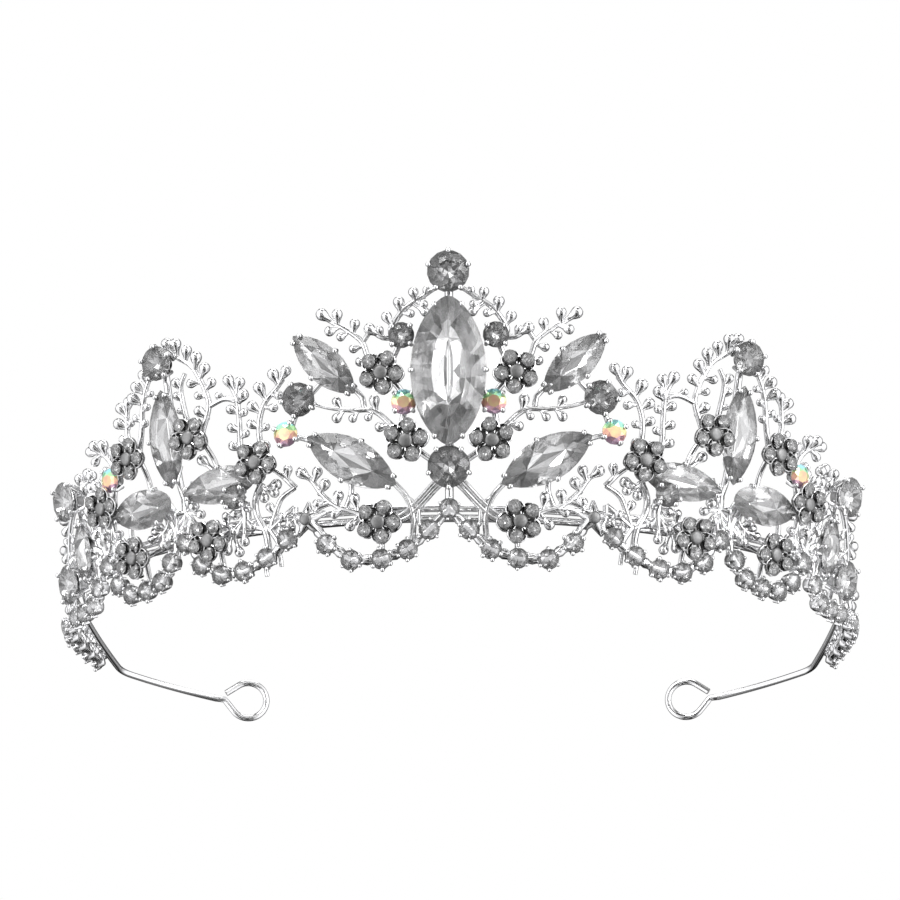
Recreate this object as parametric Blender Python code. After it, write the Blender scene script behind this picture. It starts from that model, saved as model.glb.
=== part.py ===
# Bridal tiara: cast crystal-set panels on a wire head band that ends in two grip loops.
# The ornament is drawn flat as (s, v) in mm: s runs along the band from the front centre,
# v runs up the flared face from its lower edge, and n stands out of the face.

import math

import bmesh
import bpy
from mathutils import Matrix, Vector

MM = 0.001
BAND_ARCS = ((100, 43), (40, 90), (300, 97), (8, 140), (70, 163))  # plan radius, heading reached
FLARE = math.radians(15)     # the face leans outwards, so that the top is wider than the band
BAND_V = 12.0                # height of the band on the face
BACK_SHIFT = 46.035          # from the front of the band to the middle of the tiara
WIRE_END = 173.0             # arc length at which the band wire turns into its loop
CHAIN_RADIUS = 2.1
CHAIN_STEP = 4.4
WIRE_RADIUS = 0.72
LOOP_RADIUS = 4.1
LOOP_NECK = 1.3              # the neck of the teardrop loop, in loop radii from its centre
WIRE_GAP = 0.35              # between the wires and the backs of the castings
WIRE_DROOP_FROM = 100.0      # from here the wire falls towards the level of its loop
SUPPORT_REACH = 88.0
SUPPORT_DROP = 1.3
WIRE_KNOT_STEP = 5.5
GROUND_GAP = 0.02
BAR_RADIUS = 0.6
STEM_RADIUS = 0.45
BAR_N = 0.6                  # bars and seats lie from n = 0 outwards
STEM_N = 0.63
CHAIN_BAR_N = 0.87
CHAIN_BAR_RADIUS = 0.77
SEAT_THICKNESS = 1.2
ROUND_SEAT = 0.27            # seat radius as a share of the stone's diameter
FLOWER_SEAT = 1.3
CLAW_RADIUS = 0.45
CLAW_REACH = 4.6
CLAW_HEIGHT = 4.9
CLAW_BAR_RADIUS = 0.5
CLAW_ANGLES = (18, 90, 162, 234, 306)
GIRDLE_BAND = 0.15           # height of a stone's upright girdle
ROUND_GIRDLE = 0.28          # girdle height above the culet, as a share of the diameter
ROUND_CROWN = 0.13
ROUND_TABLE = 0.58           # table radius as a share of the stone's radius
NAVETTE_GIRDLE = 0.2         # as a share of the width
NAVETTE_CROWN = 0.11
NAVETTE_TABLE = (0.68, 0.56)  # share of the half length and half width
CENTRE_POINT = 0.72          # how pointed an outline is; 0.5 is an ellipse
SIDE_POINT = 0.85
STONE_N = 1.5                # the culet of a stone clears its seat
FLOWER_N = 3.8
FLOWER_TIP = 4.6
FLOWER_VALLEY = 2.3

# Round stones: name -> s, v, diameter, extra height.
ROUNDS = {
    "upper_round_stone": (8.0, 45.0, 5.0, 0),
    "shoulder_round_stone": (26.5, 34.2, 6.6, 0),
    "crest_round_stone": (53.6, 46.0, 6.8, 0),
    "flank_round_stone": (39.6, 17.2, 4.8, 1.9),
    "inner_aurora_stone": (7.8, 32.4, 4.8, 0),
    "shoulder_aurora_stone": (29.4, 28.0, 4.8, 0),
    "outer_aurora_stone": (68.6, 26.2, 4.8, 0),
    "end_upper_round_stone": (81.5, 25.5, 8.0, 0),
    "end_lower_round_stone": (85.5, 9.6, 8.0, 0),
}
CENTRE_ROUNDS = {"top_round_stone": (0, 56.8, 8.0, 0), "base_round_stone": (0, 20.0, 8.0, 0)}

# Pointed stones: name -> s, v, length, width, tilt from the band in degrees, blunt inner end.
NAVETTES = {
    "upper_navette": (21.6, 40.4, 16.6, 7.0, 46, False),
    "lower_navette": (17.4, 21.8, 19.6, 8.4, 31, False),
    "side_navette": (53.5, 31.0, 19.4, 8.0, 90, False),
    "flank_navette": (43.0, 20.2, 17.4, 7.0, -5, False),
    "flank_pear_stone": (61.3, 18.7, 15.4, 7.6, 0, True),
    "end_navette": (79.8, 14.6, 12.4, 5.6, 97, False),
}
CENTRE_NAVETTE = (0, 38.0, 28.0, 13.4, 90)

# Flowers: name -> s, v, direction of the pointed petal in degrees, extra height.
FLOWERS = {
    "upper_flower": (11.5, 38.0, 190, 0),
    "lower_flower": (7.5, 25.0, 172, 0),
    "scallop_flower": (12.8, 10.0, 186, 0),
    "side_flower": (47.5, 30.0, 205, 0.8),
    "flank_flower": (34.8, 23.2, 195, 0.8),
    "inner_scallop_flower": (46.2, 10.0, 200, 0),
    "outer_scallop_flower": (64.2, 9.8, 190, 0),
    "outer_side_flower": (62.2, 29.0, 190, 0),
    "end_flower": (70.5, 21.0, 181, 0),
}

# Lower edges: the small set stones of each scallop, from the inner end to the outer one.
CENTRE_SCALLOP = ((0, 12.3), (3.7, 8.4), (7.8, 4.8), (12.8, 3.0), (18.6, 3.2), (23.2, 6.6), (26.6, 11.6))
INNER_SCALLOP = ((30.9, 8.2), (35.4, 5.2), (40.5, 3.2), (45.4, 3.2), (49.7, 5.8), (52.9, 10.6))
OUTER_SCALLOP = ((56.8, 7.4), (59.8, 4.2), (63.9, 3.0), (68.1, 3.2), (71.4, 5.8), (73.7, 10.0))
END_CORNER = ((77.6, 6.6), (80.8, 3.6), (85.0, 3.0), (89.4, 3.4))
FEET = {"centre": (12.8,), "inner": (40.5, 45.4), "outer": (63.9,), "end": (85.0,)}

# Bars that carry the seats, and the sprig stems that brace them.
CENTRE_SPINE = ((0, 56.8), (0, 48), (0, 38), (0, 28), (0, 20), (0, 12.3))
CENTRE_BARS = (
    ((0, 20), (2.8, 17.5), (6, 14), (9.5, 11.2), (12.8, 10)),
    ((12.8, 10), (12.8, 3)),
    ((10.2, 17.5), (7.6, 14), (6.8, 9.5), (7.8, 4.8)),
    ((0, 20), (3.5, 21.8), (7.5, 25), (7.8, 32.4), (11.5, 38), (8, 45)),
    ((7.5, 25), (10, 28), (13.5, 31.2), (17.4, 31.6), (22, 32.6), (26.5, 34.2), (29.4, 28)),
    ((10, 17.3), (17.4, 21.8), (25, 26.4), (29.4, 28)),
    ((15.2, 31.4), (16.2, 34.8), (21.6, 40.4), (26.4, 45.4)),
    ((22.6, 37.6), (26.5, 34.2)),
    ((18.8, 20.6), (19.4, 13.2)),
)
CENTRE_STEMS = (
    ((8, 45), (10, 46), (9, 48.3), (7.2, 50.6), (4.6, 52.4), (2, 54.6), (0, 56.8)),
    ((11.5, 38), (14.1, 41.5), (15, 44.3), (17.2, 46.5), (19.3, 48), (21.8, 49.6)),
    ((12.8, 10), (17.2, 12.2), (20.2, 13.3), (22.2, 14.5), (24.1, 16.5), (25.3, 18.5), (27.2, 20.6)),
    ((22.2, 14.5), (26.6, 11.6)),
)
INNER_BARS = (
    ((34.8, 23.2), (36, 21.2), (43, 20.2), (51, 19.5)),
    ((39.6, 17.2), (39.9, 11), (40.5, 3.2)),
    ((39.6, 17.2), (41.5, 20.3)),
    ((44.5, 20.2), (45.4, 25), (47.5, 30)),
    ((46.2, 10), (45.4, 3.2)),
    ((39.9, 11), (46.2, 10), (52.9, 10.6)),
    ((53.6, 46), (53.5, 38), (53.5, 31), (53.4, 23), (52.6, 19), (52.4, 15), (52.9, 10.6)),
    ((51, 19.5), (52.8, 19.3)),
)
INNER_STEMS = (
    ((29, 17.8), (31.4, 16.2), (33.4, 13), (34.8, 10), (35.4, 5.2)),
    ((32.4, 14.6), (33, 18.5), (34.8, 23.2)),
    ((34.8, 23.2), (35.2, 30), (33.8, 34.5), (31.4, 37), (29.6, 38.6)),
    ((38.6, 20.8), (39.2, 27), (39, 32), (39, 36), (39.6, 38.6)),
    ((39, 36), (41.6, 36.6), (45, 35.6)),
    ((47.5, 30), (45, 35.6), (45.2, 38.5), (46.2, 41.5), (47.8, 44.5), (50.4, 46.2), (53.6, 46)),
)
OUTER_BARS = (
    ((56.4, 18.7), (61.3, 18.7), (67.6, 18.9), (70.5, 21)),
    ((56.8, 7.4), (57.2, 13), (58.2, 18.6)),
    ((64.2, 9.8), (63.9, 3)),
    ((57.2, 12.6), (64.2, 9.8)),
    ((64.2, 9.8), (67.2, 14), (66, 18.7)),
    ((60.4, 18.7), (62.2, 29), (68.6, 26.2), (70.5, 21)),
    ((70.5, 21), (72.6, 15.5), (73.7, 10)),
)
OUTER_STEMS = (
    ((62.2, 29), (60.6, 34), (59.6, 38.5), (58.4, 41.8), (57.4, 43.6)),
    ((62.2, 29), (64, 33.4), (63.8, 37), (62.8, 40.2)),
    ((68.6, 26.2), (69.2, 29.5), (71, 32), (73.6, 33)),
)
END_BARS = (
    ((81.5, 25.5), (80.6, 20), (79.8, 14.6), (79, 9.5), (77.6, 6.6)),
    ((79.4, 12), (85.5, 9.6), (85, 3)),
    ((85.5, 9.6), (91, 7.4), (94, 4.4)),
)
END_STEMS = (
    ((81.5, 25.5), (85.6, 22.5), (89, 17.5), (91.6, 12.5), (93.6, 7)),
    ((85.6, 22.5), (88.8, 25.2), (91, 27.6)),
    ((89, 17.5), (92.6, 20), (95.4, 22)),
    ((95.6, 4.2), (98, 10), (101.6, 14.6)),
    ((104.4, 5), (107, 9.6), (110.6, 13)),
    ((113.2, 6), (116, 10.2), (119.6, 12.6)),
    ((122, 6.8), (125, 10.6), (128.6, 12.4)),
)


def plan_point(s):
    """Place and heading of the band's plan line at arc length s; a negative s is its mirror."""
    side = -1 if s < 0 else 1
    left = abs(s)
    x = y = heading = 0.0
    for radius, reached in BAND_ARCS:
        turn = math.radians(reached) - heading
        step = min(left / radius, turn)
        x += radius * (math.sin(heading + step) - math.sin(heading))
        y += radius * (math.cos(heading) - math.cos(heading + step))
        heading += step
        left -= step * radius
    x += left * math.cos(heading)
    y += left * math.sin(heading)
    return side * x, y, side * heading


def face_point(s, v, n):
    """World position, in metres, of a place on or above the flared face."""
    x, y, heading = plan_point(s)
    out = (v - BAND_V) * math.sin(FLARE) + n * math.cos(FLARE)
    z = v * math.cos(FLARE) - n * math.sin(FLARE)
    place = (x + out * math.sin(heading), y - out * math.cos(heading) - BACK_SHIFT, z)
    return Vector(place) * MM


def face_matrix(s, v, tilt):
    """Local X lies in the face at the tilt angle from the band, and local Z stands out of it."""
    heading = plan_point(s)[2]
    along = Vector((math.cos(heading), math.sin(heading), 0))
    lean = math.sin(FLARE)
    up = Vector((lean * math.sin(heading), -lean * math.cos(heading), math.cos(FLARE)))
    angle = math.radians(tilt)
    local_x = along * math.cos(angle) + up * math.sin(angle)
    local_z = along.cross(up)
    axes = Matrix((local_x, local_z.cross(local_x), local_z)).transposed()
    return Matrix.Translation(face_point(s, v, 0)) @ axes.to_4x4()


def plated(name, colour, roughness, metallic=1.0, transmission=0.0):
    material = bpy.data.materials.new(name)
    material.use_nodes = True
    shader = material.node_tree.nodes["Principled BSDF"]
    shader.inputs["Base Color"].default_value = (*colour, 1)
    shader.inputs["Roughness"].default_value = roughness
    shader.inputs["Metallic"].default_value = metallic
    shader.inputs["Transmission Weight"].default_value = transmission
    return material


def new_object(name, mesh, collection):
    thing = bpy.data.objects.new(name, mesh)
    collection.objects.link(thing)
    return thing


def hull_mesh(name, points):
    """The closed faceted solid that just holds the points, which are in mm."""
    bm = bmesh.new()
    for point in points:
        bm.verts.new(Vector(point) * MM)
    hull = bmesh.ops.convex_hull(bm, input=bm.verts)
    bmesh.ops.delete(bm, geom=list(set(hull["geom_interior"] + hull["geom_unused"])), context="VERTS")
    bmesh.ops.recalc_face_normals(bm, faces=bm.faces)
    mesh = bpy.data.meshes.new(name)
    bm.to_mesh(mesh)
    bm.free()
    return mesh


def ring(count, half_length, half_width, n, shift=0.0, point=0.5, blunt=False):
    """Points round a stone. The width goes with sin to the power 2 * point: 0.5 is an ellipse."""
    points = []
    for i in range(count):
        angle = 2 * math.pi * (i + shift) / count
        power = 1.0 if blunt and math.cos(angle) < 0 else 2 * point
        width = math.copysign(abs(math.sin(angle)) ** power, math.sin(angle))
        points.append((half_length * math.cos(angle), half_width * width, n))
    return points


def round_stone_mesh(diameter):
    radius = diameter / 2
    table = ROUND_TABLE * radius
    girdle = STONE_N + ROUND_GIRDLE * diameter
    crown = girdle + GIRDLE_BAND
    points = ring(16, radius, radius, girdle) + ring(16, radius, radius, crown)
    points += ring(8, table, table, crown + ROUND_CROWN * diameter, 0.5)
    points += ring(8, 0.52 * radius, 0.52 * radius, STONE_N + 0.12 * diameter, 0.5)
    points += [(0, 0, STONE_N)]
    return hull_mesh("round_cut", points)


def pointed_stone_mesh(length, width, point, blunt, count=16):
    a = length / 2
    b = width / 2
    along, across = NAVETTE_TABLE
    girdle = STONE_N + NAVETTE_GIRDLE * width
    crown = girdle + GIRDLE_BAND
    shape = {"point": point, "blunt": blunt}
    points = ring(count, a, b, girdle, **shape) + ring(count, a, b, crown, **shape)
    points += ring(count // 2, along * a, across * b, crown + NAVETTE_CROWN * width, **shape)
    points += ring(8, 0.74 * a, 0.45 * b, STONE_N + 0.07 * width, 0.5, point)
    points += [(-0.45 * a, 0, STONE_N), (0.45 * a, 0, STONE_N)]
    return hull_mesh("pointed_cut", points)


def tube(name, points, radius, n, collection, resolution=0):
    """A bar through (s, v) places at one height n, in the flat layout; resolution 0 is square."""
    curve = bpy.data.curves.new(name, "CURVE")
    curve.dimensions = "3D"
    curve.bevel_depth = radius * MM
    curve.bevel_resolution = resolution
    curve.use_fill_caps = True
    spline = curve.splines.new("POLY")
    spline.points.add(len(points) - 1)
    for knot, place in zip(spline.points, points):
        knot.co = (*(Vector(place).to_3d() + Vector((0, 0, n))) * MM, 1)
    guide = new_object(name, curve, collection)
    solid = as_mesh(guide, name, collection)
    bpy.data.objects.remove(guide)
    return solid


def as_mesh(thing, name, collection):
    """A welded mesh copy of what an object evaluates to, at the same place."""
    bpy.context.view_layer.update()
    graph = bpy.context.evaluated_depsgraph_get()
    mesh = bpy.data.meshes.new_from_object(thing.evaluated_get(graph))
    bm = bmesh.new()
    bm.from_mesh(mesh)
    bmesh.ops.remove_doubles(bm, verts=bm.verts, dist=1e-6)
    bmesh.ops.recalc_face_normals(bm, faces=bm.faces)
    bm.to_mesh(mesh)
    bm.free()
    copy = new_object(name, mesh, collection)
    copy.matrix_world = thing.matrix_world
    return copy


def disc(name, place, radius, thickness, collection):
    bm = bmesh.new()
    bmesh.ops.create_cone(
        bm, cap_ends=True, segments=8, radius1=radius * MM, radius2=radius * MM, depth=thickness * MM
    )
    mesh = bpy.data.meshes.new(name)
    bm.to_mesh(mesh)
    bm.free()
    solid = new_object(name, mesh, collection)
    solid.location = Vector((place[0], place[1], thickness / 2)) * MM
    return solid


def chain_setting(place, collection):
    """One small stone in its round cup, with the stone's crown above the rim."""
    r = CHAIN_RADIUS
    points = ring(8, r, r, 0) + ring(8, r, r, 2.1) + ring(8, 0.55 * r, 0.55 * r, 2.9)
    solid = new_object("chain_setting", hull_mesh("chain_setting", points), collection)
    solid.location = Vector((place[0], place[1], 0)) * MM
    return solid


def foot(s, collection):
    """The pad under a scallop's lowest setting; it is cut flat where the tiara stands."""
    bm = bmesh.new()
    bmesh.ops.create_cube(bm, size=1, matrix=Matrix.Diagonal((2.2 * MM, 3.4 * MM, 1.6 * MM, 1)))
    mesh = bpy.data.meshes.new("foot")
    bm.to_mesh(mesh)
    bm.free()
    solid = new_object("foot", mesh, collection)
    solid.location = Vector((s, 0.6, 1.1)) * MM
    return solid


def fused(parts, name, collection):
    """One mesh from overlapping solids."""
    helpers = bpy.data.collections.new(name + "_pieces")
    bpy.context.scene.collection.children.link(helpers)
    base = parts[0]
    for part in parts[1:]:
        collection.objects.unlink(part)
        helpers.objects.link(part)
    union = base.modifiers.new("fuse", "BOOLEAN")
    union.operation = "UNION"
    union.operand_type = "COLLECTION"
    union.collection = helpers
    union.solver = "EXACT"
    union.use_self = True
    joined = as_mesh(base, name, collection)
    for part in parts:
        bpy.data.objects.remove(part)
    bpy.data.collections.remove(helpers)
    return joined


def bend_onto_face(thing):
    """Carries a flat casting onto the curved, flared face."""
    place = thing.matrix_world.copy()
    for vertex in thing.data.vertices:
        flat = (place @ vertex.co) / MM
        vertex.co = face_point(flat.x, flat.y, flat.z)
    thing.matrix_world = Matrix.Identity(4)


def both_sides(paths):
    mirrored = [tuple((-s, v) for s, v in path) for path in paths]
    return list(paths) + mirrored


def claws(name, collection):
    """The posts that stand round a stone, each on a short bar from its seat."""
    s, v, _, _ = CENTRE_ROUNDS[name]
    parts = []
    for degrees in CLAW_ANGLES:
        angle = math.radians(degrees)
        spot = (s + CLAW_REACH * math.cos(angle), v + CLAW_REACH * math.sin(angle))
        parts.append(tube("claw_bar", ((s, v), spot), CLAW_BAR_RADIUS, CLAW_BAR_RADIUS + 0.05, collection, 1))
        parts.append(disc("claw", spot, CLAW_RADIUS, CLAW_HEIGHT, collection))
    return parts


def casting(name, chain, bars, stems, seats, feet, collection, cutter, material, extra=()):
    parts = [tube("chain_bar", run, CHAIN_BAR_RADIUS, CHAIN_BAR_N, collection) for run in chain]
    places = {place for run in chain for place in run}
    parts += [chain_setting(place, collection) for place in sorted(places)]
    parts += [tube("bar", path, BAR_RADIUS, BAR_N, collection, 1) for path in bars]
    parts += [tube("stem", path, STEM_RADIUS, STEM_N, collection) for path in stems]
    parts += [disc("seat", place, radius, SEAT_THICKNESS, collection) for place, radius in seats]
    parts += [foot(s, collection) for s in feet] + list(extra)
    panel = fused(parts, name, collection)
    bend_onto_face(panel)
    ground = panel.modifiers.new("ground", "BOOLEAN")
    ground.operation = "DIFFERENCE"
    ground.solver = "EXACT"
    ground.object = cutter
    panel.data.materials.clear()
    panel.data.materials.append(material)
    return panel


def mirrored_copy(panel, name, collection, cutter):
    mesh = panel.data.copy()
    for vertex in mesh.vertices:
        vertex.co.x = -vertex.co.x
    mesh.flip_normals()
    copy = new_object(name, mesh, collection)
    ground = copy.modifiers.new("ground", "BOOLEAN")
    ground.operation = "DIFFERENCE"
    ground.solver = "EXACT"
    ground.object = cutter
    return copy


def seats_of(names):
    """The discs under the named round stones and flowers."""
    seats = []
    for name in names:
        if name in ROUNDS:
            s, v, diameter, _ = ROUNDS[name]
            seats.append(((s, v), ROUND_SEAT * diameter))
        else:
            s, v, _, _ = FLOWERS[name]
            seats.append(((s, v), FLOWER_SEAT))
    return seats


def castings(collection, cutter, silver):
    centre_names = ("upper_round_stone", "shoulder_round_stone", "inner_aurora_stone",
                    "shoulder_aurora_stone", "upper_flower", "lower_flower", "scallop_flower")
    right = seats_of(centre_names)
    left = [((-s, v), radius) for (s, v), radius in right]
    middle = [((s, v), ROUND_SEAT * size) for s, v, size, _ in CENTRE_ROUNDS.values()]
    feet = [side * s for s in FEET["centre"] for side in (1, -1)]
    casting("centre_frame", both_sides([CENTRE_SCALLOP]), both_sides(CENTRE_BARS) + [CENTRE_SPINE],
            both_sides(CENTRE_STEMS), right + left + middle, feet, collection, cutter, silver,
            claws("top_round_stone", collection))

    taper = [(89.4 + CHAIN_STEP * i, 3.4 + 0.45 * i) for i in range(1, 13)]
    sides = (
        ("inner_side_frame", INNER_SCALLOP, INNER_BARS, INNER_STEMS, "inner",
         ("crest_round_stone", "flank_round_stone", "side_flower", "flank_flower",
          "inner_scallop_flower")),
        ("outer_side_frame", OUTER_SCALLOP, OUTER_BARS, OUTER_STEMS, "outer",
         ("outer_aurora_stone", "outer_scallop_flower", "outer_side_flower", "end_flower")),
        ("end_frame", END_CORNER + tuple(taper), END_BARS, END_STEMS, "end",
         ("end_upper_round_stone", "end_lower_round_stone")),
    )
    for name, chain, bars, stems, feet, names in sides:
        panel = casting(name + "_right", [chain], bars, stems, seats_of(names), FEET[feet],
                        collection, cutter, silver)
        mirrored_copy(panel, name + "_left", collection, cutter)


def set_stone(name, mesh, s, v, tilt, lift, collection, material):
    stone = new_object(name, mesh, collection)
    stone.matrix_world = face_matrix(s, v, tilt) @ Matrix.Translation((0, 0, lift * MM))
    if not mesh.materials:
        mesh.materials.append(material)
    return stone


def stones(collection, crystal, smoky, aurora):
    s, v, length, width, tilt = CENTRE_NAVETTE
    mesh = pointed_stone_mesh(length, width, CENTRE_POINT, False, 20)
    set_stone("centre_navette", mesh, s, v, tilt, 0, collection, crystal)
    for name, (s, v, diameter, lift) in CENTRE_ROUNDS.items():
        set_stone(name, round_stone_mesh(diameter), s, v, 90, lift, collection, smoky)
    for name, (s, v, diameter, lift) in ROUNDS.items():
        mesh = round_stone_mesh(diameter)
        glass = aurora if "aurora" in name else crystal if name.startswith("end") else smoky
        set_stone(name + "_right", mesh, s, v, 90, lift, collection, glass)
        set_stone(name + "_left", mesh, -s, v, 90, lift, collection, glass)
    for name, (s, v, length, width, tilt, blunt) in NAVETTES.items():
        mesh = pointed_stone_mesh(length, width, SIDE_POINT, blunt)
        set_stone(name + "_right", mesh, s, v, tilt, 0, collection, crystal)
        set_stone(name + "_left", mesh, -s, v, 180 - tilt, 0, collection, crystal)


def flower_mesh(collection):
    """Five petals on a peg that ends in the round centre; petal 0 is the pointed one."""
    curve = bpy.data.curves.new("petals", "CURVE")
    curve.dimensions = "2D"
    curve.fill_mode = "BOTH"
    curve.extrude = 0.5 * MM
    spline = curve.splines.new("POLY")
    count = 20
    spline.points.add(count - 1)
    for i in range(count):
        angle = 2 * math.pi * i / count
        lobe = abs(math.cos(2.5 * angle)) ** 0.8
        tip = FLOWER_TIP if i == 0 else FLOWER_TIP - 0.4
        reach = FLOWER_VALLEY + (tip - FLOWER_VALLEY) * lobe
        spline.points[i].co = (reach * math.cos(angle) * MM, reach * math.sin(angle) * MM, 0, 1)
    spline.use_cyclic_u = True
    guide = new_object("petals", curve, collection)
    guide.location.z = (FLOWER_N + 0.5) * MM
    bpy.context.view_layer.update()
    petals = as_mesh(guide, "petals_solid", collection)
    bpy.data.objects.remove(guide)
    bead = ring(8, 1.1, 1.1, STONE_N) + ring(8, 1.6, 1.6, FLOWER_N + 1.3) + ring(8, 0.9, 0.9, FLOWER_N + 1.8)
    peg = new_object("peg", hull_mesh("peg", bead), collection)
    whole = fused([petals, peg], "flower", collection)
    mesh = whole.data
    for vertex in mesh.vertices:
        vertex.co = whole.matrix_world @ vertex.co
    bpy.data.objects.remove(whole)
    mesh.materials.clear()
    return mesh


def flowers(collection, antique):
    mesh = flower_mesh(collection)
    for name, (s, v, direction, lift) in FLOWERS.items():
        set_stone(name + "_right", mesh, s, v, direction, lift, collection, antique)
        set_stone(name + "_left", mesh, -s, v, 180 - direction, lift, collection, antique)


def wire(name, points, sides, material, collection):
    curve = bpy.data.curves.new(name, "CURVE")
    curve.dimensions = "3D"
    curve.bevel_depth = WIRE_RADIUS * MM
    curve.bevel_resolution = sides // 2 - 2
    curve.use_fill_caps = True
    spline = curve.splines.new("POLY")
    spline.points.add(len(points) - 1)
    for knot, place in zip(spline.points, points):
        knot.co = (*place, 1)
    curve.materials.append(material)
    return new_object(name, curve, collection)


def band_half():
    """The main wire from the front centre to the tip of its grip loop, on the right-hand side."""
    loop_z = LOOP_RADIUS + WIRE_RADIUS + GROUND_GAP
    loop_v = loop_z / math.cos(FLARE) - (WIRE_GAP + WIRE_RADIUS) * math.tan(FLARE)
    start_v = BAND_V + 0.6
    points = []
    s = 0.0
    while s < WIRE_END:
        droop = max(0.0, (s - WIRE_DROOP_FROM) / (WIRE_END - WIRE_DROOP_FROM)) ** 1.3
        v = start_v + (loop_v - start_v) * droop
        points.append(face_point(s, v, -WIRE_GAP - WIRE_RADIUS))
        s += 3.0 if 140 < s < 156 else WIRE_KNOT_STEP
    heading = plan_point(WIRE_END)[2]
    along = Vector((math.cos(heading), math.sin(heading), 0))
    neck = points[-1] + along * MM
    neck.z = loop_z * MM
    centre = neck + along * LOOP_NECK * LOOP_RADIUS * MM
    points.append(neck)
    steps = 13
    for i in range(steps):
        angle = math.radians(225 + 260 * i / (steps - 1))
        turn = along * math.cos(angle) + Vector((0, 0, math.sin(angle)))
        points.append(centre + turn * LOOP_RADIUS * MM)
    return points


def band(collection, silver):
    half = band_half()
    mirrored = [Vector((-p.x, p.y, p.z)) for p in reversed(half[1:])]
    wire("head_band", mirrored + half, 6, silver, collection)
    knots = round(SUPPORT_REACH / WIRE_KNOT_STEP)
    support = [face_point(WIRE_KNOT_STEP * i, BAND_V - SUPPORT_DROP, -WIRE_GAP - WIRE_RADIUS)
               for i in range(-knots, knots + 1)]
    wire("support_wire", support, 6, silver, collection)


def main():
    for thing in list(bpy.data.objects):
        bpy.data.objects.remove(thing)
    tiara = bpy.data.collections.new("bridal_tiara")
    cutters = bpy.data.collections.new("cutters")
    bpy.context.scene.collection.children.link(tiara)
    bpy.context.scene.collection.children.link(cutters)

    bm = bmesh.new()
    bmesh.ops.create_cube(bm, size=1, matrix=Matrix.Diagonal((0.3, 0.3, 0.02, 1)))
    mesh = bpy.data.meshes.new("ground_cutter")
    bm.to_mesh(mesh)
    bm.free()
    cutter = new_object("ground_cutter", mesh, cutters)
    cutter.location.z = -0.01
    cutter.display_type = "WIRE"
    cutter.hide_render = True

    silver = plated("silver_plate", (0.86, 0.86, 0.87), 0.14)
    antique = plated("antique_silver", (0.42, 0.42, 0.43), 0.32)
    crystal = plated("clear_crystal", (0.92, 0.93, 0.95), 0.03, 0.0, 0.9)
    smoky = plated("smoky_crystal", (0.45, 0.45, 0.47), 0.04, 0.0, 0.8)
    aurora = plated("aurora_crystal", (0.75, 0.8, 0.7), 0.05, 0.3, 0.5)

    castings(tiara, cutter, silver)
    stones(tiara, crystal, smoky, aurora)
    flowers(tiara, antique)
    band(tiara, silver)


main()
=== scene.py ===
import math

import bmesh
import bpy
from mathutils import Matrix, Vector


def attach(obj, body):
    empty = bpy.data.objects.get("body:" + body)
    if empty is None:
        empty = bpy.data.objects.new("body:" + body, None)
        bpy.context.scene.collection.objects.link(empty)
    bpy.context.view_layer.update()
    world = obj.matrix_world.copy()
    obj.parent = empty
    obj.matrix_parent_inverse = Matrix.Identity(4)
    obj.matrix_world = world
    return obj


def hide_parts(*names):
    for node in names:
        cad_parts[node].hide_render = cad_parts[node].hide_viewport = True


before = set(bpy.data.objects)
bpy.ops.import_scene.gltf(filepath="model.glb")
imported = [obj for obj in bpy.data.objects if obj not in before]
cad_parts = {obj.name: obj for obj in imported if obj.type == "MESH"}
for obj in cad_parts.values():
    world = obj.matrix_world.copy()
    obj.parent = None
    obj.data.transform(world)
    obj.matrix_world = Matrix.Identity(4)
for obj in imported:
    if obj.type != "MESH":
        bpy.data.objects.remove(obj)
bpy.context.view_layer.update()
mm = 0.001

# The ornament is laid out flat, in mm: s runs along the band from the front centre,
# v up the flared face and n out of the face.
face = {
    "planArcs": ((100, 43), (40, 90), (300, 97), (8, 140), (70, 163)),  # radius, heading reached
    "flare": math.radians(15),
    "bandV": 12.0,
    "backShift": 46.035,
}


def planPoint(s):
    side = -1 if s < 0 else 1
    left = abs(s)
    x = y = heading = 0.0
    for radius, reached in face["planArcs"]:
        turn = math.radians(reached) - heading
        step = min(left / radius, turn)
        x += radius * (math.sin(heading + step) - math.sin(heading))
        y += radius * (math.cos(heading) - math.cos(heading + step))
        heading += step
        left -= step * radius
    x += left * math.cos(heading)
    y += left * math.sin(heading)
    return side * x, y, side * heading


def facePoint(s, v, n=0.0):
    x, y, heading = planPoint(s)
    lean = face["flare"]
    out = (v - face["bandV"]) * math.sin(lean) + n * math.cos(lean)
    z = v * math.cos(lean) - n * math.sin(lean)
    return Vector((x + out * math.sin(heading), y - out * math.cos(heading) - face["backShift"], z)) * mm


def faceMatrix(s, v, tilt=0.0, n=0.0):
    # local X lies in the face at the tilt angle, local Z stands out of it; lengths are in mm
    heading = planPoint(s)[2]
    lean = math.sin(face["flare"])
    along = Vector((math.cos(heading), math.sin(heading), 0))
    up = Vector((lean * math.sin(heading), -lean * math.cos(heading), math.cos(face["flare"])))
    angle = math.radians(tilt)
    localX = along * math.cos(angle) + up * math.sin(angle)
    localZ = along.cross(up)
    axes = Matrix((localX, localZ.cross(localX), localZ)).transposed().to_4x4()
    return Matrix.Translation(facePoint(s, v, n)) @ axes @ Matrix.Scale(mm, 4)


def newObject(name, data):
    made = bpy.data.objects.new(name, data)
    bpy.context.scene.collection.objects.link(made)
    return made


def addNode(tree, kind, **settings):
    node = tree.nodes.new(kind)
    for key, value in settings.items():
        setattr(node, key, value)
    return node


def feed(tree, node, inputs):
    # links an input that is given as a socket, and sets any other
    for label, value in inputs.items():
        if isinstance(value, bpy.types.NodeSocket):
            tree.links.new(value, node.inputs[label])
        else:
            node.inputs[label].default_value = value


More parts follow.
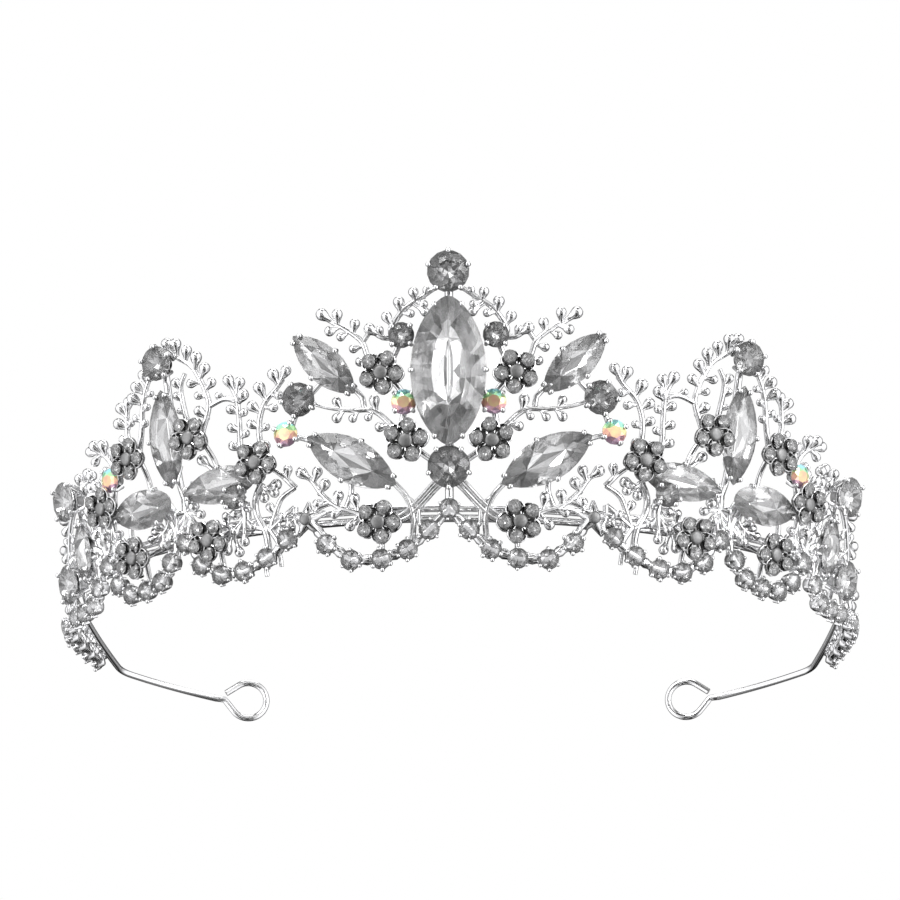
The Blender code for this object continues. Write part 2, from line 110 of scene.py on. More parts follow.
def step(tree, kind, inputs, output=0, **settings):
    # adds a node, feeds it, and returns one of its outputs, or the node
    node = addNode(tree, kind, **settings)
    feed(tree, node, inputs)
    return node if output is None else node.outputs[output]


def newFinish(name):
    finish = bpy.data.materials.new(name)
    finish.use_nodes = True
    return finish, finish.node_tree, finish.node_tree.nodes["Principled BSDF"]


def noiseOf(tree, scale, detail=3.0):
    place = step(tree, "ShaderNodeTexCoord", {}, "Object")
    inputs = {"Vector": place, "Scale": scale, "Detail": detail, "Roughness": 0.55}
    return step(tree, "ShaderNodeTexNoise", inputs)


def rampOf(tree, source, stops):
    # each stop is a place on the ramp with a colour or a grey level
    ramp = addNode(tree, "ShaderNodeValToRGB")
    while len(ramp.color_ramp.elements) < len(stops):
        ramp.color_ramp.elements.new(0.5)
    for element, (position, colour) in zip(ramp.color_ramp.elements, stops):
        element.position = position
        element.color = (*colour, 1) if isinstance(colour, tuple) else (colour, colour, colour, 1)
    feed(tree, ramp, {"Fac": source})
    return ramp.outputs["Color"]


platings = {  # darkest and palest tone, roughness from and to, ripple, scale of the grain
    "silverPlate": (0.76, (0.93, 0.93, 0.94), 0.08, 0.18, 0.7, 1300.0),
    "wireSilver": (0.84, (0.93, 0.93, 0.94), 0.07, 0.14, 0.1, 500.0),
    "antiqueSilver": (0.12, 0.5, 0.2, 0.36, 0.6, 1400.0),
    "flowerBead": (0.22, 0.30, 0.42, 0.55, 0.4, 2200.0),
}


def platedFinish(name, low, high, roughLow, roughHigh, ripple, scale):
    finish, tree, shader = newFinish(name)
    cast = noiseOf(tree, scale)  # soft ripple that a polished casting keeps
    wear = noiseOf(tree, scale * 0.35, 2.0)
    feed(tree, shader, {
        "Base Color": rampOf(tree, cast, ((0.3, low), (0.7, high))),
        "Roughness": rampOf(tree, wear, ((0.3, roughLow), (0.75, roughHigh))),
        "Normal": step(tree, "ShaderNodeBump", {"Strength": ripple, "Distance": 0.05 * mm, "Height": cast}),
        "Metallic": 1.0,
    })
    return finish


def paintedFacetSparkle(tree, stops, cloudiness, scale):
    # painted facet sparkle: each facet takes a grey level from its tone, standing in for the light and shade
    # that facet would catch, clouded a little by fine noise
    tone = step(tree, "ShaderNodeAttribute", {}, "Fac", attribute_name="tone")
    lowered = step(tree, "ShaderNodeMath", {0: tone, 1: cloudiness / 2}, operation="SUBTRACT")
    cloud = noiseOf(tree, scale, 1.0)
    blend = step(tree, "ShaderNodeMath", {0: cloud, 1: cloudiness, 2: lowered}, operation="MULTIPLY_ADD")
    return rampOf(tree, blend, stops)


glass = {"ior": 1.5, "roughness": 0.0, "cloudiness": 0.07, "cloudScale": 420.0}
crystals = {  # painted facet sparkle: grey levels of the facets, from the darkest to the brightest, and clarity
    "clearCrystal": (((0.0, 0.55), (0.25, 0.9), (1.0, 1.0)), 0.9),
    "smokyCrystal": (((0.0, 0.34), (1.0, 0.8)), 0.88),
    "chainCrystal": (((0.0, 0.4), (0.6, 0.8), (1.0, 0.95)), 0.88),
    "petalCrystal": (((0.0, 0.34), (0.5, 0.72), (1.0, 1.0)), 0.8),
}


def crystalFinish(name, stops, clarity):
    finish, tree, shader = newFinish(name)
    feed(tree, shader, {
        "Base Color": paintedFacetSparkle(tree, stops, glass["cloudiness"], glass["cloudScale"]),
        "Transmission Weight": clarity,
        "IOR": glass["ior"],
        "Roughness": glass["roughness"],
    })
    return finish


auroraCoat = {
    "colours": ((0.0, (0.50, 0.46, 0.58)), (0.24, (0.66, 0.42, 0.55)), (0.38, (0.86, 0.44, 0.36)),
                (0.50, (0.92, 0.74, 0.40)), (0.63, (0.52, 0.92, 0.45)), (0.77, (0.36, 0.82, 0.82)),
                (1.0, (0.60, 0.68, 0.95))),
    "spread": 0.62, "middle": 0.5,  # how a facet's slope picks its colour
    "drift": 0.22, "driftScale": 700.0,
    "metallic": 0.55, "roughness": 0.05,
}


def auroraFinish(name):
    # the coating shows one colour for each way a facet faces
    coat = auroraCoat
    finish, tree, shader = newFinish(name)
    normal = step(tree, "ShaderNodeNewGeometry", {}, "True Normal")
    slope = step(tree, "ShaderNodeSeparateXYZ", {"Vector": normal}, "Z")
    inputs = {0: slope, 1: coat["spread"], 2: coat["middle"]}
    facing = step(tree, "ShaderNodeMath", inputs, operation="MULTIPLY_ADD")
    inputs = {0: noiseOf(tree, coat["driftScale"], 1.0), 1: coat["drift"], 2: facing}
    sway = step(tree, "ShaderNodeMath", inputs, operation="MULTIPLY_ADD")
    feed(tree, shader, {
        "Base Color": rampOf(tree, sway, coat["colours"]),
        "Metallic": coat["metallic"],
        "Roughness": coat["roughness"],
    })
    return finish


foilBack = {
    "cloudiness": 0.1, "cloudScale": 300.0, "creaseScale": 260.0, "rough": (0.03, 0.09), "metallic": 0.85,
}
foils = {  # painted facet sparkle: grey levels of the facets behind a stone's girdle
    "stoneFoil": ((0.0, 0.16), (0.5, 0.66), (1.0, 1.0)),
    # the stronger painted facet sparkle, with more dark and more bright facets
    "strongSparkleFoil": ((0.0, 0.05), (0.1, 0.26), (0.3, 0.62), (1.0, 0.98)),
}


def foilFinish(name, stops):
    finish, tree, shader = newFinish(name)
    crease = noiseOf(tree, foilBack["creaseScale"], 1.0)
    smoothest, roughest = foilBack["rough"]
    feed(tree, shader, {
        "Base Color": paintedFacetSparkle(tree, stops, foilBack["cloudiness"], foilBack["cloudScale"]),
        "Roughness": rampOf(tree, crease, ((0.35, smoothest), (0.65, roughest))),
        "Metallic": foilBack["metallic"],
    })
    return finish


silver, wireSilver, antique, beadGrey = [platedFinish(name, *values) for name, values in platings.items()]
clearCrystal, smokyCrystal, chainCrystal, petalCrystal = [
    crystalFinish(name, *values) for name, values in crystals.items()]
auroraCrystal = auroraFinish("auroraCrystal")
foil, strongSparkleFoil = [foilFinish(name, tones) for name, tones in foils.items()]
print("finishes ready")


def newTree(name, sockets):
    tree = bpy.data.node_groups.new(name, "GeometryNodeTree")
    for label, kind in sockets:
        tree.interface.new_socket(name=label, in_out="INPUT", socket_type=kind)
    tree.interface.new_socket(name="Geometry", in_out="OUTPUT", socket_type="NodeSocketGeometry")
    start = tree.nodes.new("NodeGroupInput")
    end = tree.nodes.new("NodeGroupOutput")
    return tree, start, end


def namedValue(tree, name, kind):
    return step(tree, "GeometryNodeInputNamedAttribute", {"Name": name}, "Attribute", data_type=kind)


def makeWireTree():
    # sweeps a circle along each run of points
    sockets = (("Runs", "NodeSocketGeometry"), ("Thickness", "NodeSocketFloat"),
               ("Sides", "NodeSocketInt"), ("Finish", "NodeSocketMaterial"))
    tree, start, end = newTree("wiresAlongRuns", sockets)
    given = start.outputs
    curves = step(tree, "GeometryNodeMeshToCurve", {"Mesh": given["Runs"]})
    thick = namedValue(tree, "thick", "FLOAT")
    radius = step(tree, "ShaderNodeMath", {0: thick, 1: given["Thickness"]}, operation="MULTIPLY")
    profile = step(tree, "GeometryNodeCurvePrimitiveCircle", {"Resolution": given["Sides"], "Radius": 1.0})
    swept = step(tree, "GeometryNodeCurveToMesh",
                 {"Curve": curves, "Profile Curve": profile, "Scale": radius, "Fill Caps": True})
    smooth = step(tree, "GeometryNodeSetShadeSmooth", {"Geometry": swept})
    finished = step(tree, "GeometryNodeSetMaterial", {"Geometry": smooth, "Material": given["Finish"]})
    tree.links.new(finished, end.inputs["Geometry"])
    return tree


def makeStrewTree():
    # sets a copy of the template on each place
    sockets = (("Places", "NodeSocketGeometry"), ("Template", "NodeSocketObject"),
               ("Size", "NodeSocketFloat"), ("Smooth", "NodeSocketBool"), ("Finish", "NodeSocketMaterial"),
               ("Backing", "NodeSocketMaterial"))
    tree, start, end = newTree("partsOnPlaces", sockets)
    given = start.outputs
    template = step(tree, "GeometryNodeObjectInfo", {"Object": given["Template"]}, "Geometry")
    turn = step(tree, "FunctionNodeEulerToRotation", {"Euler": namedValue(tree, "turn", "FLOAT_VECTOR")})
    share = namedValue(tree, "size", "FLOAT")
    size = step(tree, "ShaderNodeMath", {0: share, 1: given["Size"]}, operation="MULTIPLY")
    copies = step(tree, "GeometryNodeInstanceOnPoints",
                  {"Points": given["Places"], "Instance": template, "Rotation": turn, "Scale": size})
    real = step(tree, "GeometryNodeRealizeInstances", {"Geometry": copies})
    smooth = step(tree, "GeometryNodeSetShadeSmooth", {"Geometry": real, "Shade Smooth": given["Smooth"]})
    finished = step(tree, "GeometryNodeSetMaterial", {"Geometry": smooth, "Material": given["Finish"]})
    marked = namedValue(tree, "foil", "BOOLEAN")  # the faces that take the backing
    backed = step(tree, "GeometryNodeSetMaterial",
                  {"Geometry": finished, "Selection": marked, "Material": given["Backing"]})
    tree.links.new(backed, end.inputs["Geometry"])
    return tree


wireTree = makeWireTree()
strewTree = makeStrewTree()


def runTree(carrier, tree, values):
    # sets the inputs by identifier, and returns the plain mesh that comes out
    modifier = carrier.modifiers.new("make", "NODES")
    modifier.node_group = tree
    known = {item.name: item.identifier for item in tree.interface.items_tree if item.in_out == "INPUT"}
    for label, value in values.items():
        modifier[known[label]] = value
    bpy.context.view_layer.update()
    graph = bpy.context.evaluated_depsgraph_get()
    mesh = bpy.data.meshes.new_from_object(carrier.evaluated_get(graph))
    bpy.data.objects.remove(carrier)
    return mesh


def carrierOf(name, points, edges):
    mesh = bpy.data.meshes.new(name)
    mesh.from_pydata(points, edges, [])
    return newObject(name, mesh)


def wires(runs, finish, sides=10):
    # each run is a list of (place in metres, radius in mm)
    points, thick, edges = [], [], []
    for run in runs:
        first = len(points)
        points += [place for place, _ in run]
        thick += [radius for _, radius in run]
        edges += [(i, i + 1) for i in range(first, len(points) - 1)]
    carrier = carrierOf("wireRuns", points, edges)
    carrier.data.attributes.new("thick", "FLOAT", "POINT").data.foreach_set("value", thick)
    return runTree(carrier, wireTree, {"Thickness": mm, "Sides": sides, "Finish": finish})


def strewn(template, places, finish, smooth=True, backing=foil):
    # each place is a matrix that gives position and turn, and a size that scales the template
    points, turns, sizes = [], [], []
    for place, size in places:
        points.append(place.to_translation())
        turns += list(place.to_euler())
        sizes.append(size)
    carrier = carrierOf("places", points, [])
    carrier.data.attributes.new("turn", "FLOAT_VECTOR", "POINT").data.foreach_set("vector", turns)
    carrier.data.attributes.new("size", "FLOAT", "POINT").data.foreach_set("value", sizes)
    values = {"Template": template, "Size": mm, "Smooth": smooth, "Finish": finish, "Backing": backing}
    return runTree(carrier, strewTree, values)


def meshOf(name, bm):
    mesh = bpy.data.meshes.new(name)
    bm.to_mesh(mesh)
    bm.free()
    return mesh


def joined(name, meshes):
    # one piece from several meshes, each keeping its own finishes
    finishes = []
    bm = bmesh.new()
    for mesh in meshes:
        before = len(bm.faces)
        bm.from_mesh(mesh)
        bm.faces.ensure_lookup_table()
        for polygon in bm.faces[before:]:
            finish = mesh.materials[polygon.material_index]
            if finish not in finishes:
                finishes.append(finish)
            polygon.material_index = finishes.index(finish)
        bpy.data.meshes.remove(mesh)
    whole = meshOf(name, bm)
    for finish in finishes:
        whole.materials.append(finish)
    return newObject(name, whole)


def settle(piece, slot, *replaced):
    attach(piece, "root")
    if replaced:
        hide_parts(*replaced)


def templateOf(name, mesh):
    # a hidden object to copy, drawn in mm about the origin
    template = newObject(name, mesh)
    template.hide_render = True
    return template


def bridge(bm, lower, upper):
    # faces from one ring to the next; a ring of a single point closes the shape
    faces = []
    count = max(len(lower), len(upper))
    for i in range(count):
        j = (i + 1) % count
        if len(lower) == 1:
            corners = (lower[0], upper[j], upper[i])
        elif len(upper) == 1:
            corners = (lower[i], lower[j], upper[0])
        else:
            corners = (lower[i], lower[j], upper[j], upper[i])
        faces.append(bm.faces.new(corners))
    return faces


def turnedMesh(name, outline, sides):
    # a closed turned shape; the outline starts and ends on the axis
    bm = bmesh.new()
    rings = []
    for radius, height in outline:
        if radius == 0:
            rings.append([bm.verts.new((0, 0, height))])
            continue
        angles = [2 * math.pi * i / sides for i in range(sides)]
        rings.append([bm.verts.new((radius * math.cos(a), radius * math.sin(a), height)) for a in angles])
    for lower, upper in zip(rings, rings[1:]):
        bridge(bm, lower, upper)
    bmesh.ops.recalc_face_normals(bm, faces=bm.faces)
    return meshOf(name, bm)


cutShape = {
    "roundGirdle": 0.28, "roundCrown": 0.15, "mains": 8,  # shares of the diameter, main facets round
    "navetteGirdle": 0.2, "navetteCrown": 0.115,  # shares of the width
    "facets": 1.15, "finestFacets": 2.1,  # on the navettes, times the counts below
    "flatWithin": 0.6,  # degrees between facets that count as one
    "shallowBelow": -0.95, "glarePaintedShade": 0.55,  # the shallow facets along a keel would glare, so their painted sparkle is darkened: painted shade
}
stoneSeatN = 1.5  # how far the back of a large stone stands out of the face


def stoneRing(count, a, b, n, shift=0.0, power=1.0, blunt=False):
    # points on an oval; a power over 1 draws its ends out, and a blunt one keeps its inner end round
    points = []
    for i in range(count):
        angle = 2 * math.pi * (i + shift) / count
        use = 1.0 if blunt and math.cos(angle) < 0 else power
        width = math.copysign(abs(math.sin(angle)) ** use, math.sin(angle))
        points.append(Vector((a * math.cos(angle), b * width, n)))
    return points


def cutStoneMesh(name, points, girdle):
    # the faceted solid that just holds the points; what lies under the girdle carries the foil
    bm = bmesh.new()
    for point in points:
        bm.verts.new(point)
    hull = bmesh.ops.convex_hull(bm, input=bm.verts)
    bmesh.ops.delete(bm, geom=list(set(hull["geom_interior"] + hull["geom_unused"])), context="VERTS")
    flat = math.radians(cutShape["flatWithin"])
    bmesh.ops.dissolve_limit(bm, angle_limit=flat, verts=bm.verts, edges=bm.edges)
    bmesh.ops.recalc_face_normals(bm, faces=bm.faces)
    mesh = meshOf(name, bm)
    under = [polygon.center.z < girdle for polygon in mesh.polygons]
    mesh.attributes.new("foil", "BOOLEAN", "FACE").data.foreach_set("value", under)
    tones = [(43758.5 * math.sin(12.9898 * (i + 1))) % 1 for i in range(len(under))]  # painted facet sparkle, scattered over 0 to 1
    for i, polygon in enumerate(mesh.polygons):
        # painted shade: the nearly flat facets at the back of a stone get a darker tone, so that they don't
        # glare
        if polygon.normal.z < cutShape["shallowBelow"]:
            tones[i] *= cutShape["glarePaintedShade"]
    mesh.attributes.new("tone", "FLOAT", "FACE").data.foreach_set("value", tones)
    return mesh


def roundCut(name, diameter, base, depth, crown):
    # table, kites and halves above; mains with a break near the culet below
    r = diameter / 2
    girdle = base + depth
    mains = cutShape["mains"]
    tiers = (  # count, share of the radius, height, shift
        (2 * mains, 1.0, girdle - 0.02 * diameter, 0),
        (2 * mains, 1.0, girdle + 0.01 * diameter, 0),
        (mains, 0.79, girdle + 0.62 * crown, 0.5),
        (mains, 0.50, girdle + crown, 0),
        (mains, 0.66, girdle - 0.42 * depth, 0.5),
        (mains, 0.30, girdle - 0.80 * depth, 0),
    )
    points = []
    for count, share, n, shift in tiers:
        points += stoneRing(count, share * r, share * r, n, shift)
    points.append(Vector((0, 0, base)))
    return cutStoneMesh(name, points, girdle)


def navetteCut(name, length, width, power, blunt, large):
    # long fancy cut: two rows of crown facets round a narrow table, a keel below
    a = length / 2
    b = width / 2
    girdle = stoneSeatN + cutShape["navetteGirdle"] * width
    crown = cutShape["navetteCrown"] * width + 0.15
    depth = girdle - stoneSeatN + 0.2
    tiers = [  # count, share of the length, share of the width, height, shift
        (20, 1.0, 1.0, girdle - 0.05, 0),
        (20, 1.0, 1.0, girdle + 0.12, 0),
        (14, 0.86, 0.86, girdle + 0.40 * crown, 0.5),
        (10, 0.66, 0.62, girdle + 0.80 * crown, 0),
        (6, 0.42, 0.30, girdle + crown, 0.5),
        (14, 0.84, 0.78, girdle - 0.30 * depth, 0.5),
        (12, 0.68, 0.55, girdle - 0.59 * depth, 0),
        (8, 0.5, 0.28, girdle - 0.84 * depth, 0.5),
    ]
    facets = cutShape["facets"]
    keel = (-0.42, 0, 0.42)
    bow = 0.0
    if large:  # a large stone has more rows of facets at its back, and a bowed keel
        tiers += [
            (14, 0.77, 0.67, girdle - 0.46 * depth, 0),
            (10, 0.60, 0.42, girdle - 0.73 * depth, 0.5),
            (6, 0.44, 0.13, girdle - 0.94 * depth, 0),
        ]
        facets = cutShape["finestFacets"]
        keel = (-0.42, -0.28, -0.14, 0, 0.14, 0.28, 0.42)
        bow = 0.3
    points = []
    for count, along, across, n, shift in tiers:
        count = 2 * round(count * facets / 2)
        points += stoneRing(count, a * along, b * across, n, shift, power, blunt)
    points += [Vector((x * a, 0, girdle - (1 - bow * x * x) * depth)) for x in keel]
    return cutStoneMesh(name, points, girdle)


def budMesh():
    # a teardrop along +X: thin where it leaves the stem, a ball at its tip
    outline = [(0.0, 0.0), (0.38, 0.03), (0.42, 0.6), (0.52, 1.1), (0.78, 1.6), (0.98, 2.1),
               (1.0, 2.5), (0.84, 2.9), (0.5, 3.2), (0.0, 3.3)]
    mesh = turnedMesh("bud", outline, 10)
    mesh.transform(Matrix.Rotation(math.radians(90), 4, "Y"))
    return mesh


outlines = {  # turned shapes: radius, height
    "ball": ((0, -0.5), (0.3, -0.4), (0.47, -0.17), (0.47, 0.17), (0.3, 0.4), (0, 0.5)),
    "cup": ((0, 0), (0.34, 0), (0.40, 0.1), (0.50, 0.46), (0.53, 0.60), (0.49, 0.62), (0.40, 0.5),
            (0.12, 0.16), (0, 0.14)),
    "bead": ((0, 0.1), (1.1, 0.1), (1.36, 0.4), (1.4, 0.8), (1.26, 1.05), (0.85, 1.2), (0, 1.25)),
    "peg": ((0, -3.2), (0.8, -3.2), (0.7, -1.5), (1.2, 0.2), (0, 0.2)),
}
templates = {
    "smallStone": templateOf("smallStoneTemplate", roundCut("smallStone", 1.0, 0.0, 0.36, 0.16)),
    "bud": templateOf("budTemplate", budMesh()),
}
for name, sides in (("ball", 8), ("cup", 16), ("bead", 20), ("peg", 12)):
    templates[name] = templateOf(name + "Template", turnedMesh(name, outlines[name], sides))


roundStones = {  # name -> s, v, diameter, lift, first prong angle, prongs
    "upper_round_stone": (8.0, 45.0, 5.0, 0, 45, 4),
    "shoulder_round_stone": (26.5, 34.2, 6.6, 0, 70, 5),
    "crest_round_stone": (53.6, 46.0, 6.8, 0, 90, 5),
    "flank_round_stone": (39.6, 17.2, 4.8, 1.9, 45, 4),
    "inner_aurora_stone": (7.8, 32.4, 4.8, 0, 45, 4),
    "shoulder_aurora_stone": (29.4, 28.0, 4.8, 0, 30, 4),
    "outer_aurora_stone": (68.6, 26.2, 4.8, 0, 60, 4),
    "end_upper_round_stone": (81.5, 25.5, 8.0, 0, 45, 4),
    "end_lower_round_stone": (85.5, 9.6, 8.0, 0, 45, 4),
}
centreRounds = {"top_round_stone": (0, 56.8, 8.0, 0, 90, 5), "base_round_stone": (0, 20.0, 8.0, 0, 54, 5)}
rounds = {**roundStones, **centreRounds}
navettes = {  # name -> s, v, length, width, tilt, blunt inner end, outline power
    "upper_navette": (21.6, 40.4, 16.6, 7.0, 46, False, 1.7),
    "lower_navette": (17.4, 21.8, 19.6, 8.4, 31, False, 1.7),
    "side_navette": (53.5, 31.0, 19.4, 8.0, 90, False, 1.7),
    "flank_navette": (43.0, 20.2, 17.4, 7.0, -5, False, 1.7),
    "flank_pear_stone": (61.3, 18.7, 15.4, 7.6, 0, True, 1.7),
    "end_navette": (79.8, 14.6, 12.4, 5.6, 97, False, 1.7),
}
fancyStones = {**navettes, "centre_navette": (0, 38.0, 28.2, 14.2, 90, False, 1.32)}
stoneCup = {  # share of the outline; height off the face, or below the girdle as a share of the depth
    "sides": 32,
    "layers": ((0.42, 0.1), (0.5, 0.5), (0.68, -0.66), (0.8, -0.44), (0.72, -0.64), (0.44, 0.8)),
}
prongShape = {
    "foot": 0.62, "footN": 0.4, "waistOut": 0.12, "waistDrop": 0.3, "tipIn": 0.1, "tipRise": 0.45,
    "radii": (0.42, 0.36, 0.34), "ball": 1.05, "ballRise": 0.1,
    "angles": (28, 90, 152, 208, 270, 332), "bluntAngles": (28, 120, 240, 332),
}


def cupMesh(place, a, b, girdle, power, blunt):
    # an open cup under a stone's girdle, with a wall and a flat back
    bm = bmesh.new()
    count = stoneCup["sides"]
    deep = girdle - stoneSeatN
    rings = []
    for share, height in stoneCup["layers"]:
        n = height if height > 0 else girdle + height * deep
        ring = stoneRing(count, a * share, b * share, n, 0, power, blunt)
        rings.append([bm.verts.new(place @ point) for point in ring])
    for lower, upper in zip(rings, rings[1:]):
        bridge(bm, lower, upper)
    bm.faces.new(list(reversed(rings[0])))
    bm.faces.new(rings[-1])
    bmesh.ops.recalc_face_normals(bm, faces=bm.faces)
    for polygon in bm.faces:
        polygon.smooth = True
    mesh = meshOf("stoneCup", bm)
    mesh.materials.append(silver)
    return mesh


def prongRuns(place, a, b, girdle, angles, power, blunt):
    # posts up the side of a stone, and the place of the ball on each tip
    runs, balls = [], []
    for degrees in angles:
        angle = math.radians(degrees)
        use = 1.0 if blunt and math.cos(angle) < 0 else power
        across = b * math.copysign(abs(math.sin(angle)) ** use, math.sin(angle))
        edge = Vector((a * math.cos(angle), across, 0))
        out = edge.normalized()
        foot = edge * prongShape["foot"] + Vector((0, 0, prongShape["footN"]))
        waist = edge + out * prongShape["waistOut"] + Vector((0, 0, girdle - prongShape["waistDrop"]))
        tip = edge - out * prongShape["tipIn"] + Vector((0, 0, girdle + prongShape["tipRise"]))
        runs.append([(place @ knot, radius) for knot, radius in zip((foot, waist, tip), prongShape["radii"])])
        top = place @ (tip + Vector((0, 0, prongShape["ballRise"])))
        balls.append((Matrix.Translation(top), prongShape["ball"]))
    return runs, balls


def settingOf(name, side):
    # cup, prong runs and prong balls for one large stone; side is 1 on the right and -1 on the left
    if name in rounds:
        s, v, diameter, lift, first, count = rounds[name]
        place = faceMatrix(side * s, v, 0, lift)
        a = b = diameter / 2
        girdle = stoneSeatN + cutShape["roundGirdle"] * diameter
        angles = [first + 360 * i / count for i in range(count)]
        if side < 0:
            angles = [180 - angle for angle in angles]
        power, blunt = 1.0, False
    else:
        s, v, length, width, tilt, blunt, power = fancyStones[name]
        place = faceMatrix(side * s, v, tilt if side > 0 else 180 - tilt)
        a, b = length / 2, width / 2
        girdle = stoneSeatN + cutShape["navetteGirdle"] * width
        angles = prongShape["bluntAngles"] if blunt else prongShape["angles"]
    runs, balls = prongRuns(place, a, b, girdle, angles, power, blunt)
    return cupMesh(place, a, b, girdle, power, blunt), runs, balls


scallops = {  # s, v of the small settings along the lower edge of each casting
    "centre": ((0, 12.3), (3.7, 8.4), (7.8, 4.8), (12.8, 3.2), (18.6, 3.3), (23.2, 6.6), (26.6, 11.6)),
    "inner": ((30.9, 8.2), (35.4, 5.2), (40.5, 3.3), (45.4, 3.3), (49.7, 5.8), (52.9, 10.6)),
    "outer": ((56.8, 7.4), (59.8, 4.2), (63.9, 3.2), (68.1, 3.3), (71.4, 5.8), (73.7, 10.0)),
    "end": ((77.6, 6.6), (80.8, 3.6), (85.0, 3.2), (89.4, 3.5)),
}
scallops["end"] += tuple((89.4 + 9.5 * i, 3.4 + 0.95 * i) for i in range(1, 6))  # rising along the wire
chainSetting = {
    "stone": 3.9, "cup": 3.75, "stoneLift": 1.0, "linkRadius": 0.95, "linkN": 0.95,
    "prongs": (22, 84, 150, 206, 262, 318), "prongReach": 2.02, "footShare": 0.9, "footN": 1.2, "tipN": 2.35,
    "footRadius": 0.34, "tipRadius": 0.3, "ball": 0.66, "ballStep": 0.12,
    "fadeFrom": 95, "fadeOver": 220,  # the settings shrink towards the ends of the wires
    "stars": ((26.6, 11.6),), "starBeadN": 2.6, "starBead": 0.85,
}

bars = {  # radius, then s, v of the knots
    "centre": (
        (0.8, ((0, 56.8), (0, 48), (0, 38), (0, 28), (0, 20), (0, 12.3))),
    ),
    "centrePair": (
        (0.52, ((1.6, 18.6), (3.4, 16.6), (6, 13.8), (9, 11.4), (12.8, 10))),
        (0.52, ((0.6, 17.8), (2.6, 16), (5.4, 13), (8.4, 10.6), (12.8, 10))),
        (0.5, ((12.8, 10), (12.8, 6.5), (12.8, 3))),
        (0.55, ((10.2, 17.5), (7.9, 14.6), (6.8, 11), (6.9, 7.5), (7.8, 4.8))),
        (0.42, ((8.2, 15), (6.0, 12.8), (5.6, 9.5), (3.7, 8.4))),
        (0.6, ((0, 20), (3.5, 21.8), (7.5, 25))),
        (0.6, ((7.5, 25), (8.4, 28.6), (7.8, 32.4), (9, 35.5), (11.5, 38))),
        (0.55, ((11.5, 38), (9.6, 41.4), (8, 45))),
        (0.6, ((10, 17.3), (17.4, 21.8), (25, 26.4), (29.4, 28))),
        (0.55, ((15.2, 31.4), (15.4, 33.4), (16.2, 34.8), (21.6, 40.4), (26.4, 45.4))),
        (0.5, ((22.6, 37.6), (24.6, 35.6), (26.5, 34.2))),
        (0.5, ((26.5, 34.2), (28.2, 31.2), (29.4, 28))),
        (0.5, ((18.8, 20.6), (18.2, 16.6), (19.4, 13.2))),
    ),
    "inner": (
        (0.6, ((34.8, 23.2), (36, 21.2), (43, 20.2), (52.8, 19.3))),
        (0.95, ((39.6, 16.4), (39.5, 13.8), (39.8, 11.6))),
        (0.6, ((39.8, 12.0), (37.4, 11.4), (35.2, 10.6))),
        (0.65, ((35.6, 19.6), (36.7, 18), (37.4, 16), (37.2, 13.5), (36, 11), (35.5, 8.5), (35.4, 5.2))),
        (0.7, ((34.8, 10.8), (33.6, 9.0), (32.6, 7.0))),
        (0.42, ((33.4, 6.8), (33.1, 5.0), (33.0, 3.4))),
        (0.42, ((36.4, 4.6), (36.3, 3.0), (36.2, 1.9))),
        (0.8, ((52.6, 19), (52.5, 16.5), (50, 22))),
        (0.6, ((52.5, 16.5), (50.6, 13.4), (48.6, 11.2))),
        (0.5, ((39.6, 17.2), (41.5, 20.3))),
        (0.5, ((44.5, 20.2), (45.0, 25), (47.5, 30))),
        (0.5, ((46.2, 10), (45.6, 6.4), (45.4, 3.2))),
        (0.55, ((39.8, 12.0), (43, 11.6), (46.2, 10), (49.6, 9.2), (52.9, 10.6))),
        (0.7, ((53.6, 46), (53.5, 38), (53.5, 31), (53.4, 23), (52.6, 19), (52.2, 15), (52.9, 10.6))),
    ),
    "outer": (
        (0.6, ((56.4, 18.7), (61.3, 18.7), (67.6, 18.9), (70.5, 21))),
        (0.85, ((56.8, 7.4), (55.8, 10.4), (55.4, 13), (56.6, 16.4), (58.2, 18.6))),
        (0.6, ((52.5, 16.5), (54, 15), (57, 13.5), (58.5, 11), (61, 10.5))),
        (0.55, ((66, 6.4), (67.4, 9.4), (70.2, 11.6), (74, 12.4))),
        (0.5, ((64.2, 9.8), (63.9, 6), (63.9, 3))),
        (0.5, ((57.2, 12.6), (60.6, 10.6), (64.2, 9.8))),
        (0.5, ((64.2, 9.8), (66.8, 12), (67.0, 15.6), (66, 18.7))),
        (0.5, ((60.4, 18.7), (60.6, 24), (62.2, 29))),
        (0.5, ((62.2, 29), (65.6, 28.6), (68.6, 26.2), (70.0, 23.8), (70.5, 21))),
        (0.5, ((70.5, 21), (72.6, 15.5), (73.7, 10))),
    ),
    "end": (
        (0.7, ((81.0, 9.5), (81.2, 13.5), (82.6, 18.5), (81.8, 22))),
        (0.8, ((77.6, 6.6), (77.7, 9.5), (74.6, 13.6), (75.6, 18.6), (76.6, 22.5))),
        (0.6, ((81.5, 25.5), (80.6, 20), (79.8, 14.6), (79, 9.5), (77.6, 6.6))),
        (0.5, ((79.4, 12), (82.4, 11.6), (85.5, 9.6), (85.6, 6), (85, 3))),
        (0.5, ((85.5, 9.6), (91, 7.4), (94, 4.4))),
    ),
}

